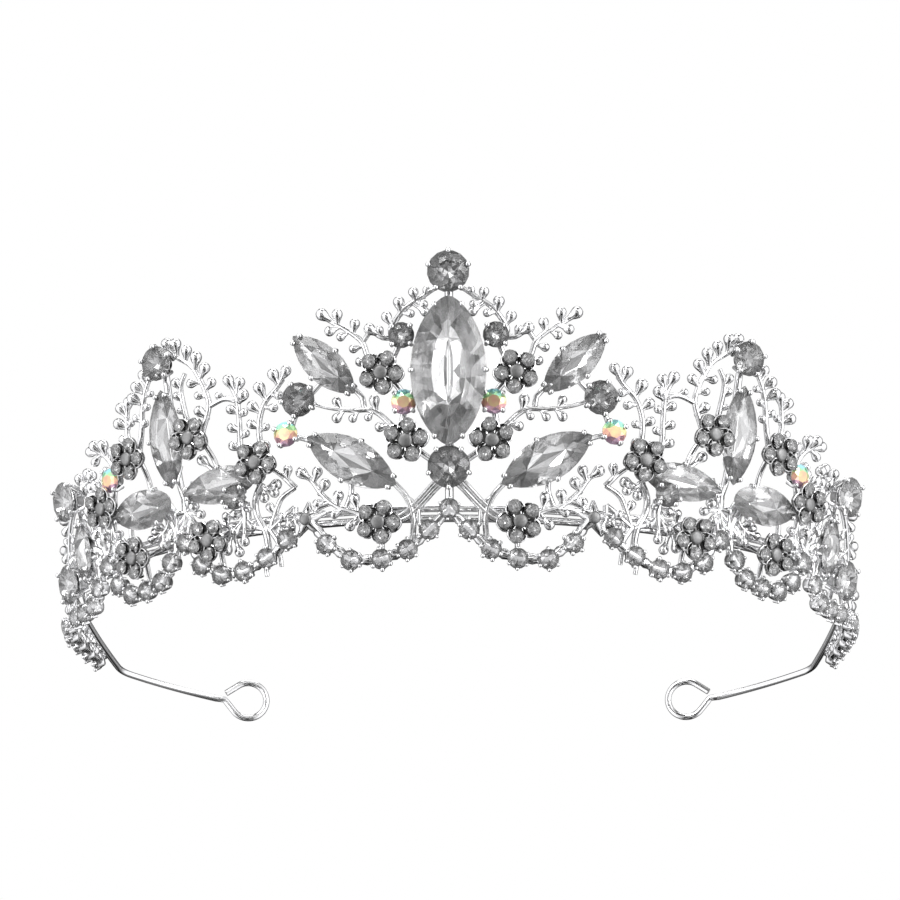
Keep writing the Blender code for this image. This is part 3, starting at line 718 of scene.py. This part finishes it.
barN = 0.65  # how far the bars' middle lines stand out of the face
sprigs = {  # stem knots from root to tip, then the tips of its buds
    "centre": (
        (((8, 45), (10, 46), (9, 48.3), (7.2, 50.6), (4.6, 52.4), (2.4, 54)),
         ((11.1, 49.8), (8.6, 52.6), (6.1, 54.2), (3.6, 54.4), (5.8, 49.2), (3.6, 50.6), (3.4, 49))),
        (((11.5, 38), (14.1, 41.5), (15, 44.3), (17.2, 46.5), (19.3, 48), (21.2, 49.3)),
         ((16.0, 48.9), (19.1, 51), (22.6, 50.9), (17.4, 43.0), (19.4, 45.2), (21.4, 46.5), (16.4, 40.7))),
        (((8.8, 45), (11.4, 45.0), (13.4, 46.2), (14.9, 44.4)), ((12.2, 47.2), (14.4, 47.4))),
        (((7.5, 25), (10, 28), (13.5, 31.2), (17.4, 31.6), (22, 32.6), (25.4, 34)),
         ((13.4, 34.2), (20.4, 34.2), (14.8, 29.4), (17.8, 29.4), (20.8, 29.6), (13.2, 27.8))),
        (((12.8, 10), (17.2, 12.2), (20.2, 13.3), (22.2, 14.5), (24.1, 16.5), (25.3, 18.5), (26.6, 20.0)),
         ((17.8, 16.0), (20.4, 16.6), (22.4, 18.8), (24.0, 21.4), (28.2, 21.3), (19.2, 9),
          (22.4, 11.8), (25.6, 14.2))),
        (((22.2, 14.5), (24.6, 13.6), (26.6, 11.6)), ()),
    ),
    "inner": (
        (((34.6, 10.6), (33.4, 13.2), (31.8, 16.2), (29, 17.9)), ((34.6, 15.6), (30.9, 12.8))),
        (((29.4, 14.2), (31.6, 12.6), (34.4, 10.6)), ((30.6, 10.6), (32.4, 9.4))),
        (((39.6, 15.6), (39.9, 12.4)), ((37.6, 10.9), (40.0, 8.0), (42.3, 10.2), (38.2, 14.6), (42.5, 14))),
        (((36.4, 19.4), (35.0, 18.4), (33.8, 18.2)), ((31.6, 19.2), (32.2, 17.0), (34.8, 15.8))),
        (((52.5, 16.5), (51.2, 15.8)), ((48.2, 15.4), (49.4, 17.8), (50.6, 13.2), (53.6, 12.8),
                                        (55.2, 16.6), (50.2, 19.2))),
        (((44.4, 22.6), (45.4, 23.8)), ((48.2, 26.6),)),
        (((42.6, 11.4), (44.6, 13.2)), ((43.4, 15.2), (41.0, 6.2), (44.0, 6.8))),
        (((29.4, 14.2), (29.2, 11)), ((28.6, 8.6), (31.0, 10.6))),
        (((29, 17.9), (31.4, 20.6), (34.8, 23.2)), ((30.0, 22.4),)),
        (((34.8, 23.2), (35.2, 30), (33.8, 34.5), (31.4, 37), (29.8, 38.8)),
         ((28.6, 41.2), (31.8, 41), (34.6, 38.8), (36.8, 35.2), (37.2, 31.6), (29.9, 35.6),
          (31.2, 33.4), (33.0, 30.4), (33.4, 27.2))),
        (((38.6, 20.8), (39.2, 27), (39, 32), (39, 36), (39.6, 38.2)),
         ((37.8, 40.4), (40.6, 41.2), (36.8, 37.6), (41.2, 35.0), (41.2, 31.4), (37, 33.8),
          (41.4, 28.0), (37.1, 29.8))),
        (((39, 36), (41.6, 36.8), (45, 35.8)), ((43.2, 38.0),)),
        (((47.5, 30), (45, 35.6), (45.2, 38.5), (46.2, 41.5), (47.8, 44.5), (50.4, 46.6), (51.2, 48)),
         ((43.2, 41.0), (44.2, 44.2), (45.8, 46.8), (48.0, 48.6), (50.2, 50.4), (52.4, 50.6),
          (47.6, 38.6), (48.8, 41.0), (47.4, 36))),
        (((49.8, 33), (50.4, 38), (50.4, 41), (49.2, 43.2)), ((51.6, 36.6), (51.8, 39.8), (51.4, 42.6))),
    ),
    "outer": (
        (((62.2, 29), (60.6, 34), (59.6, 38.5), (58.4, 41.8), (57.2, 43.8)),
         ((58.6, 46.0), (60.9, 43.8), (62.0, 41.6), (56.6, 41.2), (57.6, 38.8), (58.4, 35.8),
          (61.9, 37.6))),
        (((62.2, 29), (64, 33.4), (63.8, 37), (63.2, 39.2)),
         ((62.4, 41.6), (65.0, 40.8), (66.2, 37.6), (66.0, 34.2), (61.9, 36.6))),
        (((68.6, 26.2), (69.2, 29.5), (71, 32), (73, 33)),
         ((68.4, 33.0), (70.6, 35), (73.2, 35.2), (75.4, 34), (74.0, 30.7), (71.2, 28.9))),
        (((62.2, 29), (65.6, 30.4), (67.6, 31.2)), ((66.6, 33.0), (69.0, 32.4))),
        (((73.7, 10), (75.2, 15), (74.6, 19.6)), ((76.6, 13.8), (73.0, 16.2), (77.0, 17.4),
                                                  (75.8, 21.8), (73.2, 13.2))),
        (((58.2, 18.6), (57.0, 15), (59.6, 13)), ((61.2, 14.4), (58.6, 10.2), (60.0, 15.6), (62.4, 12.6))),
        (((56.4, 18.7), (54.6, 16), (55.4, 13)), ((53.8, 12.6), (57.4, 16.8), (54.2, 10.4), (57.0, 11.6))),
        (((70.5, 21), (71.2, 17), (70.6, 14.4)), ((69.0, 15.6), (72.8, 17.6), (69.2, 12.8), (71.6, 12.0))),
        (((73.7, 10), (74.4, 12.5), (74.5, 14.6)),
         ((71.8, 14.6), (71.4, 11.6), (73.0, 17.0), (76.0, 16.4), (78.0, 14.5), (77.2, 11.8),
          (74.2, 10.2), (76.0, 8.6))),
        (((68.6, 26.2), (71.4, 25.4), (74.4, 24.4)), ((72.4, 28.0), (75.0, 27.4), (76.6, 24.6),
                                                      (74.6, 21.6), (72.0, 23.2))),
        (((64.2, 9.8), (66.8, 11.4), (68.4, 13.6)), ((69.4, 10.6), (70.4, 14.6), (66.4, 14.2))),
    ),
    "end": (
        (((76.6, 22.5), (77.4, 24.6), (78.6, 26)), ((75.5, 27.6), (77.8, 28.0), (75.2, 24.8),
                                                    (78.8, 22.8))),
        (((82.6, 18.5), (83.0, 14.8), (82.4, 12.2)), ((84.6, 15.6), (81.4, 16.6), (84.6, 12.6),
                                                      (80.6, 11.6))),
        (((80.8, 3.6), (80.4, 6.4), (81.0, 9.5)), ((78.8, 4.2), (82.8, 6.4), (79.2, 8.8), (82.8, 9.2))),
        (((77.6, 6.6), (77.4, 11), (77.0, 16), (77.8, 21)), ((75.8, 12.6), (75.6, 18), (76.8, 23.4),
                                                             (79.2, 22.4))),
        (((81.5, 25.5), (78.4, 27.6), (76.2, 28.4)), ((76.0, 30.6), (78.8, 30.4), (74.2, 29.2),
                                                      (76.8, 26.2))),
        (((81.5, 25.5), (85.0, 22), (88, 17.5), (91, 12.5), (93.6, 7)),
         ((84.4, 17.6), (86.6, 13.8), (89.4, 9.0), (92.6, 13.6), (95.2, 9.4), (91.2, 5.0))),
        (((85.0, 22), (87.0, 23.2)), ((85.8, 25.4), (88.8, 24.0), (88.6, 20.6))),
        (((88, 17.5), (90.4, 18.2)), ((89.6, 20.4), (92.8, 18.6), (92.4, 16.0))),
        (((93.6, 7), (97, 9.4), (101, 10.2)), ((96.0, 11.8), (99.2, 12.2), (102.6, 11.6), (95.4, 4.6),
                                               (98.8, 7.0), (102.6, 8.2))),
        (((101, 5), (106, 8.4), (111, 9.0)), ((104.4, 10.6), (108.6, 11.2), (112.6, 10.8),
                                              (104.6, 5.2), (108.6, 6.2), (112.6, 7.0))),
        (((111, 6), (116, 8.8), (121, 9.4)), ((114.4, 10.8), (118.6, 11.2), (122.4, 11.0),
                                              (114.8, 6.0), (118.6, 6.8), (122.6, 7.6))),
        (((121, 7), (126, 9.2), (131, 9.8)), ((124.6, 11.2), (128.4, 11.4), (132.4, 11.4),
                                              (124.8, 6.8), (128.8, 7.6), (132.4, 8.4))),
        (((131, 8.4), (135, 9.8), (138.4, 10.2)), ((134.4, 11.6), (138.0, 11.8), (134.8, 8.0),
                                                   (138.6, 9.0), (140.6, 10.4))),
    ),
}
sprigShape = {
    "stemRoot": 0.60, "stemTip": 0.44, "stemN": 1.0, "twig": 0.42,
    "budN": 1.5, "budLength": 3.3, "reach": 2.9, "smallest": 0.78, "largest": 1.12, "hanging": 0.86,
    "lieFrom": 78, "lieOver": 12, "stemLie": 0.6, "budLie": 1.1,  # the sprigs at the ends lie flat
}


def smoothRun(knots, step=0.7):
    # a smooth curve through the knots
    knots = [Vector(knot) for knot in knots]
    ends = [knots[0] * 2 - knots[1]] + knots + [knots[-1] * 2 - knots[-2]]
    run = []
    for i in range(1, len(ends) - 2):
        p0, p1, p2, p3 = ends[i - 1:i + 3]
        count = max(1, round((p2 - p1).length / step))
        for j in range(count):
            t = j / count
            run.append(0.5 * ((2 * p1) + (p2 - p0) * t + (2 * p0 - 5 * p1 + 4 * p2 - p3) * t * t
                              + (3 * p1 - p0 - 3 * p2 + p3) * t ** 3))
    run.append(knots[-1])
    return run


def barRun(knots, radius, side):
    return [(facePoint(side * p.x, p.y, barN), radius) for p in smoothRun(knots)]


def sprigParts(stem, tips, side):
    # tapered stem, a twig to each bud, and the bud places
    flat = smoothRun(stem)
    last = len(flat) - 1
    shape = sprigShape
    lie = max(0.0, min(1.0, (stem[0][0] - shape["lieFrom"]) / shape["lieOver"]))
    rise = shape["stemN"] - shape["stemLie"] * lie
    run = []
    for i, p in enumerate(flat):
        radius = shape["stemRoot"] + (shape["stemTip"] - shape["stemRoot"]) * i / last
        run.append((facePoint(side * p.x, p.y, rise * min(1, 0.6 + i / 6)), radius))
    runs = [run]
    buds = []
    for number, tip in enumerate(tips):
        tip = Vector(tip)
        near = min(range(len(flat)), key=lambda i: (flat[i] - tip).length)
        root = flat[max(0, near - 2)]
        budN = shape["budN"] - shape["budLie"] * lie + 0.35 * (number % 3 - 1) * (1 - 0.7 * lie)
        tipPlace = facePoint(side * tip.x, tip.y, budN)
        rootPlace = facePoint(side * root.x, root.y, rise)
        along = (tipPlace - rootPlace).normalized()
        reach = (tipPlace - rootPlace).length / mm
        size = max(shape["smallest"], min(shape["largest"], reach / shape["reach"]))
        size *= shape["hanging"] if tip.y < flat[near].y else 1.0  # the buds on the underside are smaller
        size *= 1.0 + 0.05 * ((number * 7) % 3 - 1)
        start = tipPlace - along * shape["budLength"] * size * mm
        middle = (rootPlace + start) / 2
        twig = shape["twig"] * size
        runs.append([(rootPlace, twig + 0.06), (middle, twig), (start + along * 0.6 * mm, twig)])
        turn = along.to_track_quat("X", "Z").to_matrix().to_4x4()
        buds.append((Matrix.Translation(start) @ turn, size))
    return runs, buds


starArms = ((18, 3.6), (88, 3.3), (160, 3.9), (232, 3.8), (305, 3.9))  # direction, length
starTaper = ((0, 1.2), (0.45, 1.0), (0.75, 0.6), (1, 0.3))  # share of the length, radius


def starRuns(place):
    # a rough cast star that joins two scallops
    runs = []
    for degrees, length in starArms:
        angle = math.radians(degrees)
        out = Vector((math.cos(angle), math.sin(angle), 0))
        runs.append([(place @ (out * length * share + Vector((0, 0, 2.2 - 1.2 * share))), radius)
                     for share, radius in starTaper])
    return runs


def chainParts(chain, side):
    # links between the settings, and each setting's cup, stone and prong balls; a star has a bead instead
    shape = chainSetting
    links, cups, stones, balls, beads = [], [], [], [], []
    for (s0, v0), (s1, v1) in zip(chain, chain[1:]):
        links.append([(facePoint(side * (s0 + (s1 - s0) * t), v0 + (v1 - v0) * t, shape["linkN"]),
                       shape["linkRadius"] * w)
                      for t, w in ((0, 1), (0.35, 0.9), (0.5, 1.12), (0.65, 0.9), (1, 1))])
    for number, (s, v) in enumerate(chain):
        place = faceMatrix(side * s, v)
        rigid = place @ Matrix.Scale(1 / mm, 4)
        if (s, v) in shape["stars"]:
            links += starRuns(place)
            beads.append((rigid @ Matrix.Translation((0, 0, shape["starBeadN"] * mm)), shape["starBead"]))
            continue
        fade = min(1.0, 1.0 - (s - shape["fadeFrom"]) / shape["fadeOver"])
        cups.append((rigid, shape["cup"] * fade))
        stones.append((rigid @ Matrix.Translation((0, 0, shape["stoneLift"] * mm)), shape["stone"] * fade))
        for degrees in shape["prongs"]:
            angle = math.radians(degrees + (number * 37) % 15)  # turned a little from cup to cup
            reach = shape["prongReach"] * fade
            inner = reach * shape["footShare"]
            tip = Vector((reach * math.cos(angle), reach * math.sin(angle), shape["tipN"]))
            foot = Vector((inner * math.cos(angle), inner * math.sin(angle), shape["footN"]))
            links.append([(place @ foot, shape["footRadius"]), (place @ tip, shape["tipRadius"])])
            balls.append((Matrix.Translation(place @ tip), shape["ball"] + shape["ballStep"] * (number % 3)))
    return links, cups, stones, balls, beads


def makeCasting(name, node, sides, chainKey, barKeys, stoneNames, centreNames=()):
    runs, buds, balls, cups, stones, beads, meshes = [], [], [], [], [], [], []
    for side in sides:
        chain = scallops[chainKey]
        if side < 0 and 1 in sides:  # the setting at the middle is made once
            runs.append([(facePoint(side * s, v, chainSetting["linkN"]), chainSetting["linkRadius"])
                         for s, v in chain[:2]])
            chain = chain[1:]
        links, newCups, newStones, newBalls, newBeads = chainParts(chain, side)
        beads += newBeads
        runs += links
        cups += newCups
        stones += newStones
        balls += newBalls
        for key in barKeys:
            for radius, knots in bars[key]:
                if key == "centre" and side < 0:
                    continue
                runs.append(barRun(knots, radius, side))
        for stem, tips in sprigs[chainKey]:
            newRuns, newBuds = sprigParts(stem, tips, side)
            runs += newRuns
            buds += newBuds
        for stoneName in stoneNames:
            cup, prongs, tips = settingOf(stoneName, side)
            meshes.append(cup)
            runs += prongs
            balls += tips
    for stoneName in centreNames:
        cup, prongs, tips = settingOf(stoneName, 1)
        meshes.append(cup)
        runs += prongs
        balls += tips
    meshes.append(wires(runs, silver))
    meshes.append(strewn(templates["bud"], buds, silver))
    meshes.append(strewn(templates["ball"], balls, silver))
    # painted shade: away from the ends the chain cups take the dark antique finish, so that the ring between
    # each stone and its cup reads dark
    meshes.append(strewn(templates["cup"], cups, silver if chainKey == "end" else antique))
    if beads:
        meshes.append(strewn(templates["bead"], beads, beadGrey))
    casting = joined(name, meshes)
    settle(casting, "silver_plate", node)
    chainStones = joined(name + "ChainStones", [strewn(templates["smallStone"], stones, chainCrystal, False)])
    settle(chainStones, "smoky_crystal")
    print(name, "made", len(casting.data.polygons), "faces")


makeCasting("centreCasting", "centre_frame", (1, -1), "centre", ("centre", "centrePair"),
            ("upper_round_stone", "shoulder_round_stone", "inner_aurora_stone", "shoulder_aurora_stone",
             "upper_navette", "lower_navette"),
            ("top_round_stone", "base_round_stone", "centre_navette"))
for side, word in ((1, "right"), (-1, "left")):
    makeCasting("innerSideCasting_" + word, "inner_side_frame_" + word, (side,), "inner", ("inner",),
                ("crest_round_stone", "flank_round_stone", "side_navette", "flank_navette"))
    makeCasting("outerSideCasting_" + word, "outer_side_frame_" + word, (side,), "outer", ("outer",),
                ("outer_aurora_stone", "flank_pear_stone"))
    makeCasting("endCasting_" + word, "end_frame_" + word, (side,), "end", ("end",),
                ("end_upper_round_stone", "end_lower_round_stone", "end_navette"))


flowers = {  # name -> s, v, direction of the pointed petal, lift
    "upper_flower": (11.5, 38.0, 190, 0),
    "lower_flower": (7.5, 25.0, 172, 0),
    "scallop_flower": (12.8, 10.0, 186, 0),
    "side_flower": (47.5, 30.0, 205, 0.8),
    "flank_flower": (34.8, 23.2, 195, 0.8),
    "inner_scallop_flower": (46.2, 10.0, 200, 0),
    "outer_scallop_flower": (64.2, 9.8, 190, 0),
    "outer_side_flower": (62.2, 29.0, 190, 0),
    "end_flower": (70.5, 21.0, 181, 0),
}
flowerShape = {
    "backN": 3.8, "petals": 5, "petalStart": 0.75, "petalEnd": 4.35, "pointedEnd": 4.6, "petalWidth": 1.95,
    "rim": 0.8, "sides": 16, "stone": 2.55, "stoneReach": 3.0, "stoneN": 0.3,
}


def petalTurn(petal):
    return Matrix.Rotation(math.radians(360 / flowerShape["petals"] * petal), 4, "Z")


def petalOutline(end, share):
    # a rounded drop from the flower's centre outwards, pinched to a point at its tip
    start = flowerShape["petalStart"]
    middle = (start + end) / 2
    half = (end - start) / 2
    points = []
    for i in range(flowerShape["sides"]):
        angle = 2 * math.pi * i / flowerShape["sides"]
        width = flowerShape["petalWidth"] * abs(math.sin(angle)) ** (1.4 if math.cos(angle) > 0 else 0.7)
        out = middle + half * share * math.cos(angle)
        points.append((out, share * math.copysign(width, math.sin(angle))))
    return points


def petalInto(bm, turn, end):
    # a shallow tray with an upright edge; the edge's top takes the second finish
    rim = flowerShape["rim"]
    layers = ((0.86, 0.0), (1.0, 0.25), (0.98, rim), (0.9, rim + 0.08), (0.78, 0.3))
    rings = []
    for share, height in layers:
        rings.append([bm.verts.new(turn @ Vector((x, y, height))) for x, y in petalOutline(end, share)])
    for layer, (lower, upper) in enumerate(zip(rings, rings[1:])):
        for polygon in bridge(bm, lower, upper):
            polygon.material_index = int(layer == 2)
    bm.faces.new(list(reversed(rings[0])))
    bm.faces.new(rings[-1])


def flowerCastingMesh():
    bm = bmesh.new()
    for petal in range(flowerShape["petals"]):
        petalInto(bm, petalTurn(petal), flowerShape["pointedEnd" if petal == 0 else "petalEnd"])
    bmesh.ops.recalc_face_normals(bm, faces=bm.faces)
    mesh = meshOf("flowerCasting", bm)
    rims = [polygon.material_index == 1 for polygon in mesh.polygons]  # the polished edge of each petal
    mesh.attributes.new("foil", "BOOLEAN", "FACE").data.foreach_set("value", rims)
    return mesh


templates["flower"] = templateOf("flowerTemplate", flowerCastingMesh())

for name, (s, v, direction, lift) in flowers.items():
    for side, word in ((1, "right"), (-1, "left")):
        angle = direction if side > 0 else 180 - direction
        place = faceMatrix(side * s, v, angle, flowerShape["backN"] + lift)
        rigid = place @ Matrix.Scale(1 / mm, 4)
        petalStones = []
        for petal in range(flowerShape["petals"]):
            turn = petalTurn(petal)
            spot = turn @ Vector((flowerShape["stoneReach"], 0, flowerShape["stoneN"]))
            petalStones.append((rigid @ Matrix.Translation(spot * mm) @ turn, flowerShape["stone"]))
        parts = [
            strewn(templates["flower"], [(rigid, 1.0)], antique, False, silver),
            strewn(templates["bead"], [(rigid, 1.0)], beadGrey),
            strewn(templates["peg"], [(rigid, 1.0)], silver),
            strewn(templates["smallStone"], petalStones, petalCrystal, False),
        ]
        blossom = joined(name + "Blossom_" + word, parts)
        settle(blossom, "antique_silver", name + "_" + word)
print("flowers made")


bandWire = {
    "radius": 0.72, "gap": 0.35, "rise": 0.6, "end": 173.0, "sides": 16,
    "droopFrom": 100.0, "droopPower": 1.3,  # the wire sinks from here on, slowly at first
    "loopRadius": 4.1, "loopNeck": 1.3, "loopTurnIn": 12, "loopFrom": 225, "loopSweep": 262, "loopPoints": 40,
    "supportDrop": 1.3, "supportReach": 88,
}


def bandHalf():
    # the right half, from the front centre to the end of the loop
    wire = bandWire
    behind = -wire["gap"] - wire["radius"]
    loopZ = wire["loopRadius"] + wire["radius"] + 0.03
    loopV = loopZ / math.cos(face["flare"]) + behind * math.tan(face["flare"])
    startV = face["bandV"] + wire["rise"]
    points = []
    s = 0.0
    while s < wire["end"] - 0.5:
        droop = max(0.0, (s - wire["droopFrom"]) / (wire["end"] - wire["droopFrom"])) ** wire["droopPower"]
        points.append(facePoint(s, startV + (loopV - startV) * droop, behind))
        s += 1.0
    heading = planPoint(wire["end"])[2] + math.radians(wire["loopTurnIn"])
    along = Vector((math.cos(heading), math.sin(heading), 0))
    neck = facePoint(wire["end"], loopV, behind) + along * mm
    neck.z = loopZ * mm
    centre = neck + along * wire["loopNeck"] * wire["loopRadius"] * mm
    eye = [neck]
    for i in range(wire["loopPoints"]):
        angle = math.radians(wire["loopFrom"] + wire["loopSweep"] * i / (wire["loopPoints"] - 1))
        turn = along * math.cos(angle) + Vector((0, 0, math.sin(angle)))
        eye.append(centre + turn * wire["loopRadius"] * mm)
    eye.append(neck + (along * 0.3 + Vector((0, 0, 1.5))) * mm)
    return points + smoothRun(eye, 0.7 * mm)


def makeBandWire(name, points, node):
    run = [(point, bandWire["radius"]) for point in points]
    settle(joined(name, [wires([run], wireSilver, bandWire["sides"])]), "silver_plate", node)


half = bandHalf()
wholeBand = [Vector((-p.x, p.y, p.z)) for p in reversed(half[1:])] + half
makeBandWire("headBandWire", wholeBand, "head_band")
supportV = face["bandV"] - bandWire["supportDrop"]
supportN = -bandWire["gap"] - bandWire["radius"]
reach = bandWire["supportReach"]
support = [facePoint(s, supportV, supportN) for s in range(-reach, reach + 1)]
makeBandWire("supportWire", support, "support_wire")
print("band wires made")


def foiled(mesh, glass, backing):
    mesh.materials.append(glass)
    mesh.materials.append(backing)
    for polygon, under in zip(mesh.polygons, mesh.attributes["foil"].data):
        polygon.material_index = int(under.value)
    return mesh


def setStone(name, mesh, place, slot):
    mesh.transform(place)
    settle(newObject(name + "_cut", mesh), slot, name)


glassOfSlot = {"aurora_crystal": auroraCrystal, "clear_crystal": clearCrystal, "smoky_crystal": smokyCrystal}


def roundStoneOf(name, node, side):
    s, v, diameter, lift = rounds[name][:4]
    slot = "clear_crystal" if name.startswith("end") else "smoky_crystal"
    if "aurora" in name:
        slot = "aurora_crystal"
    depth = cutShape["roundGirdle"] * diameter
    mesh = roundCut(node, diameter, stoneSeatN, depth, cutShape["roundCrown"] * diameter)
    # the clear stones take the foil with the stronger painted facet sparkle
    backing = strongSparkleFoil if slot == "clear_crystal" else foil
    place = faceMatrix(side * s, v, 90 + 9 * side, lift)
    setStone(node, foiled(mesh, glassOfSlot[slot], backing), place, slot)


def navetteOf(name, node, side):
    s, v, length, width, tilt, blunt, power = fancyStones[name]
    mesh = navetteCut(node, length, width, power, blunt, name == "centre_navette")
    place = faceMatrix(side * s, v, tilt if side > 0 else 180 - tilt)
    setStone(node, foiled(mesh, clearCrystal, strongSparkleFoil), place, "clear_crystal")


for name in centreRounds:
    roundStoneOf(name, name, 1)
navetteOf("centre_navette", "centre_navette", 1)
for side, word in ((1, "right"), (-1, "left")):
    for name in roundStones:
        roundStoneOf(name, name + "_" + word, side)
    for name in navettes:
        navetteOf(name, name + "_" + word, side)
print("stones set")

for template in templates.values():
    bpy.data.objects.remove(template)


studio = {
    "lensDistance": 480.0, "lookUp": 21.0, "yaw": 2.2, "roll": 0.4, "rise": 11.4,
    "sensor": 36, "frameWidth": 168.3,
}
floorShape = {"reach": 2.0, "drop": 0.0004, "tones": ((0.3, 0.86), (0.7, 0.9)), "grain": 30.0}


def makeFloor():
    # one-sided, so that a low camera looks up through it
    mesh = bpy.data.meshes.new("floor")
    reach = floorShape["reach"]
    corners = [(x * reach, y * reach, 0) for x, y in ((-1, -1), (1, -1), (1, 1), (-1, 1))]
    mesh.from_pydata(corners, [], [(0, 1, 2, 3)])
    floor = newObject("studioFloor", mesh)
    floor.location.z = -floorShape["drop"]
    finish, tree, shader = newFinish("paleFloor")
    feed(tree, shader, {
        "Base Color": rampOf(tree, noiseOf(tree, floorShape["grain"]), floorShape["tones"]),
        "Roughness": 1.0,
        "Specular IOR Level": 0.0,
    })
    behind = step(tree, "ShaderNodeNewGeometry", {}, "Backfacing")
    clear = step(tree, "ShaderNodeBsdfTransparent", {})
    mix = step(tree, "ShaderNodeMixShader", {"Fac": behind, 1: shader.outputs["BSDF"], 2: clear})
    feed(tree, tree.nodes["Material Output"], {"Surface": mix})
    mesh.materials.append(finish)
    floor.visible_glossy = False
    floor.visible_transmission = False
    floor.visible_diffuse = False
    floor.visible_shadow = False


tent = {  # what the metal and the stones mirror
    "panelScale": 3.1, "panelDetail": 1.2,
    "panels": ((0.43, 0.0), (0.495, 0.12), (0.54, 0.8), (0.60, 1.35)),  # bright panels with dark gaps
    "below": ((0.2, 0.45), (0.48, 1.0)),  # darker towards the ground
    "sides": ((0.38, 0.0), (0.68, 0.88)), "sideLight": (1.35, 1.35, 1.37, 1),  # brightest at both sides
    "behind": ((0.1, 1.0), (0.6, 0.25)),  # dark behind the tiara
    "through": 0.66, "throughLight": (1.3, 1.3, 1.32, 1),  # light that leaves a stone meets paler panels
}


def mixed(tree, factor, a, b, kind="MIX"):
    inputs = {"Factor": factor, "A": a, "B": b}
    return step(tree, "ShaderNodeMix", inputs, "Result", data_type="RGBA", blend_type=kind)


def makeSky():
    world = bpy.data.worlds.new("studio")
    bpy.context.scene.world = world
    world.use_nodes = True
    tree = world.node_tree
    tree.nodes.clear()
    place = step(tree, "ShaderNodeTexCoord", {}, "Generated")
    inputs = {"Vector": place, "Scale": tent["panelScale"], "Detail": tent["panelDetail"]}
    panels = rampOf(tree, step(tree, "ShaderNodeTexNoise", inputs), tent["panels"])
    split = step(tree, "ShaderNodeSeparateXYZ", {"Vector": place}, None)
    inputs = {0: split.outputs["Z"], 1: 0.5, 2: 0.5}  # from 0 straight down to 1 straight up
    height = step(tree, "ShaderNodeMath", inputs, operation="MULTIPLY_ADD")
    ground = mixed(tree, 1.0, panels, rampOf(tree, height, tent["below"]), "MULTIPLY")
    sides = step(tree, "ShaderNodeMath", {0: split.outputs["X"]}, operation="ABSOLUTE")
    lit = mixed(tree, rampOf(tree, sides, tent["sides"]), ground, tent["sideLight"])
    shade = mixed(tree, 1.0, lit, rampOf(tree, split.outputs["Y"], tent["behind"]), "MULTIPLY")
    path = addNode(tree, "ShaderNodeLightPath").outputs
    inputs = {0: path["Is Transmission Ray"], 1: tent["through"]}
    through = step(tree, "ShaderNodeMath", inputs, operation="MULTIPLY")
    paler = mixed(tree, through, shade, tent["throughLight"])
    mirroredTent = step(tree, "ShaderNodeBackground", {"Color": paler})
    plain = step(tree, "ShaderNodeBackground", {"Color": (1, 1, 1, 1)})  # white where the camera looks past
    mix = step(tree, "ShaderNodeMixShader", {"Fac": path["Is Camera Ray"], 1: mirroredTent, 2: plain})
    step(tree, "ShaderNodeOutputWorld", {"Surface": mix}, None)


softboxes = {  # place, size, power, what it points at
    "keySoftbox": ((-0.45, -0.8, 0.75), (0.45, 0.45), 4.5, (0, -0.04, 0.03)),
    "fillSoftbox": ((0.7, -0.6, 0.3), (0.35, 0.5), 2.5, (0, -0.04, 0.03)),
    "topSoftbox": ((0, 0.1, 0.9), (0.6, 0.5), 3, (0, -0.04, 0.03)),
    "sideSoftbox_right": ((0.4, -0.28, -0.02), (0.3, 0.3), 0.4, (0.08, -0.01, 0.015)),
    "sideSoftbox_left": ((-0.4, -0.28, -0.02), (0.3, 0.3), 0.4, (-0.08, -0.01, 0.015)),
}


def makeLight(name, place, size, power, target):
    light = bpy.data.lights.new(name, "AREA")
    light.shape = "RECTANGLE"
    light.size, light.size_y = size
    light.energy = power
    lamp = newObject(name, light)
    lamp.location = place
    lamp.rotation_euler = (Vector(target) - Vector(place)).to_track_quat("-Z", "Y").to_euler()


def makeCamera():
    yaw = Matrix.Rotation(math.radians(studio["yaw"]), 3, "Z")
    up = math.radians(studio["lookUp"])
    ahead = yaw @ Vector((0, math.cos(up), math.sin(up)))
    top = yaw @ Vector((0, -math.sin(up), math.cos(up)))
    right = yaw @ Vector((1, 0, 0))
    lens = bpy.data.cameras.new("camera")
    lens.sensor_width = studio["sensor"]
    lens.lens = studio["sensor"] * studio["lensDistance"] / studio["frameWidth"]
    lens.clip_start = 0.01
    camera = newObject("camera", lens)
    place = facePoint(0, face["bandV"]) + (-ahead * studio["lensDistance"] + top * studio["rise"]) * mm
    axes = Matrix((right, top, -ahead)).transposed()
    roll = Matrix.Rotation(math.radians(studio["roll"]), 3, "Z")
    camera.matrix_world = Matrix.Translation(place) @ (axes @ roll).to_4x4()
    bpy.context.scene.camera = camera


makeFloor()
makeSky()
for name, values in softboxes.items():
    makeLight(name, *values)
makeCamera()
bpy.context.scene.view_settings.view_transform = "Standard"
print("studio ready")
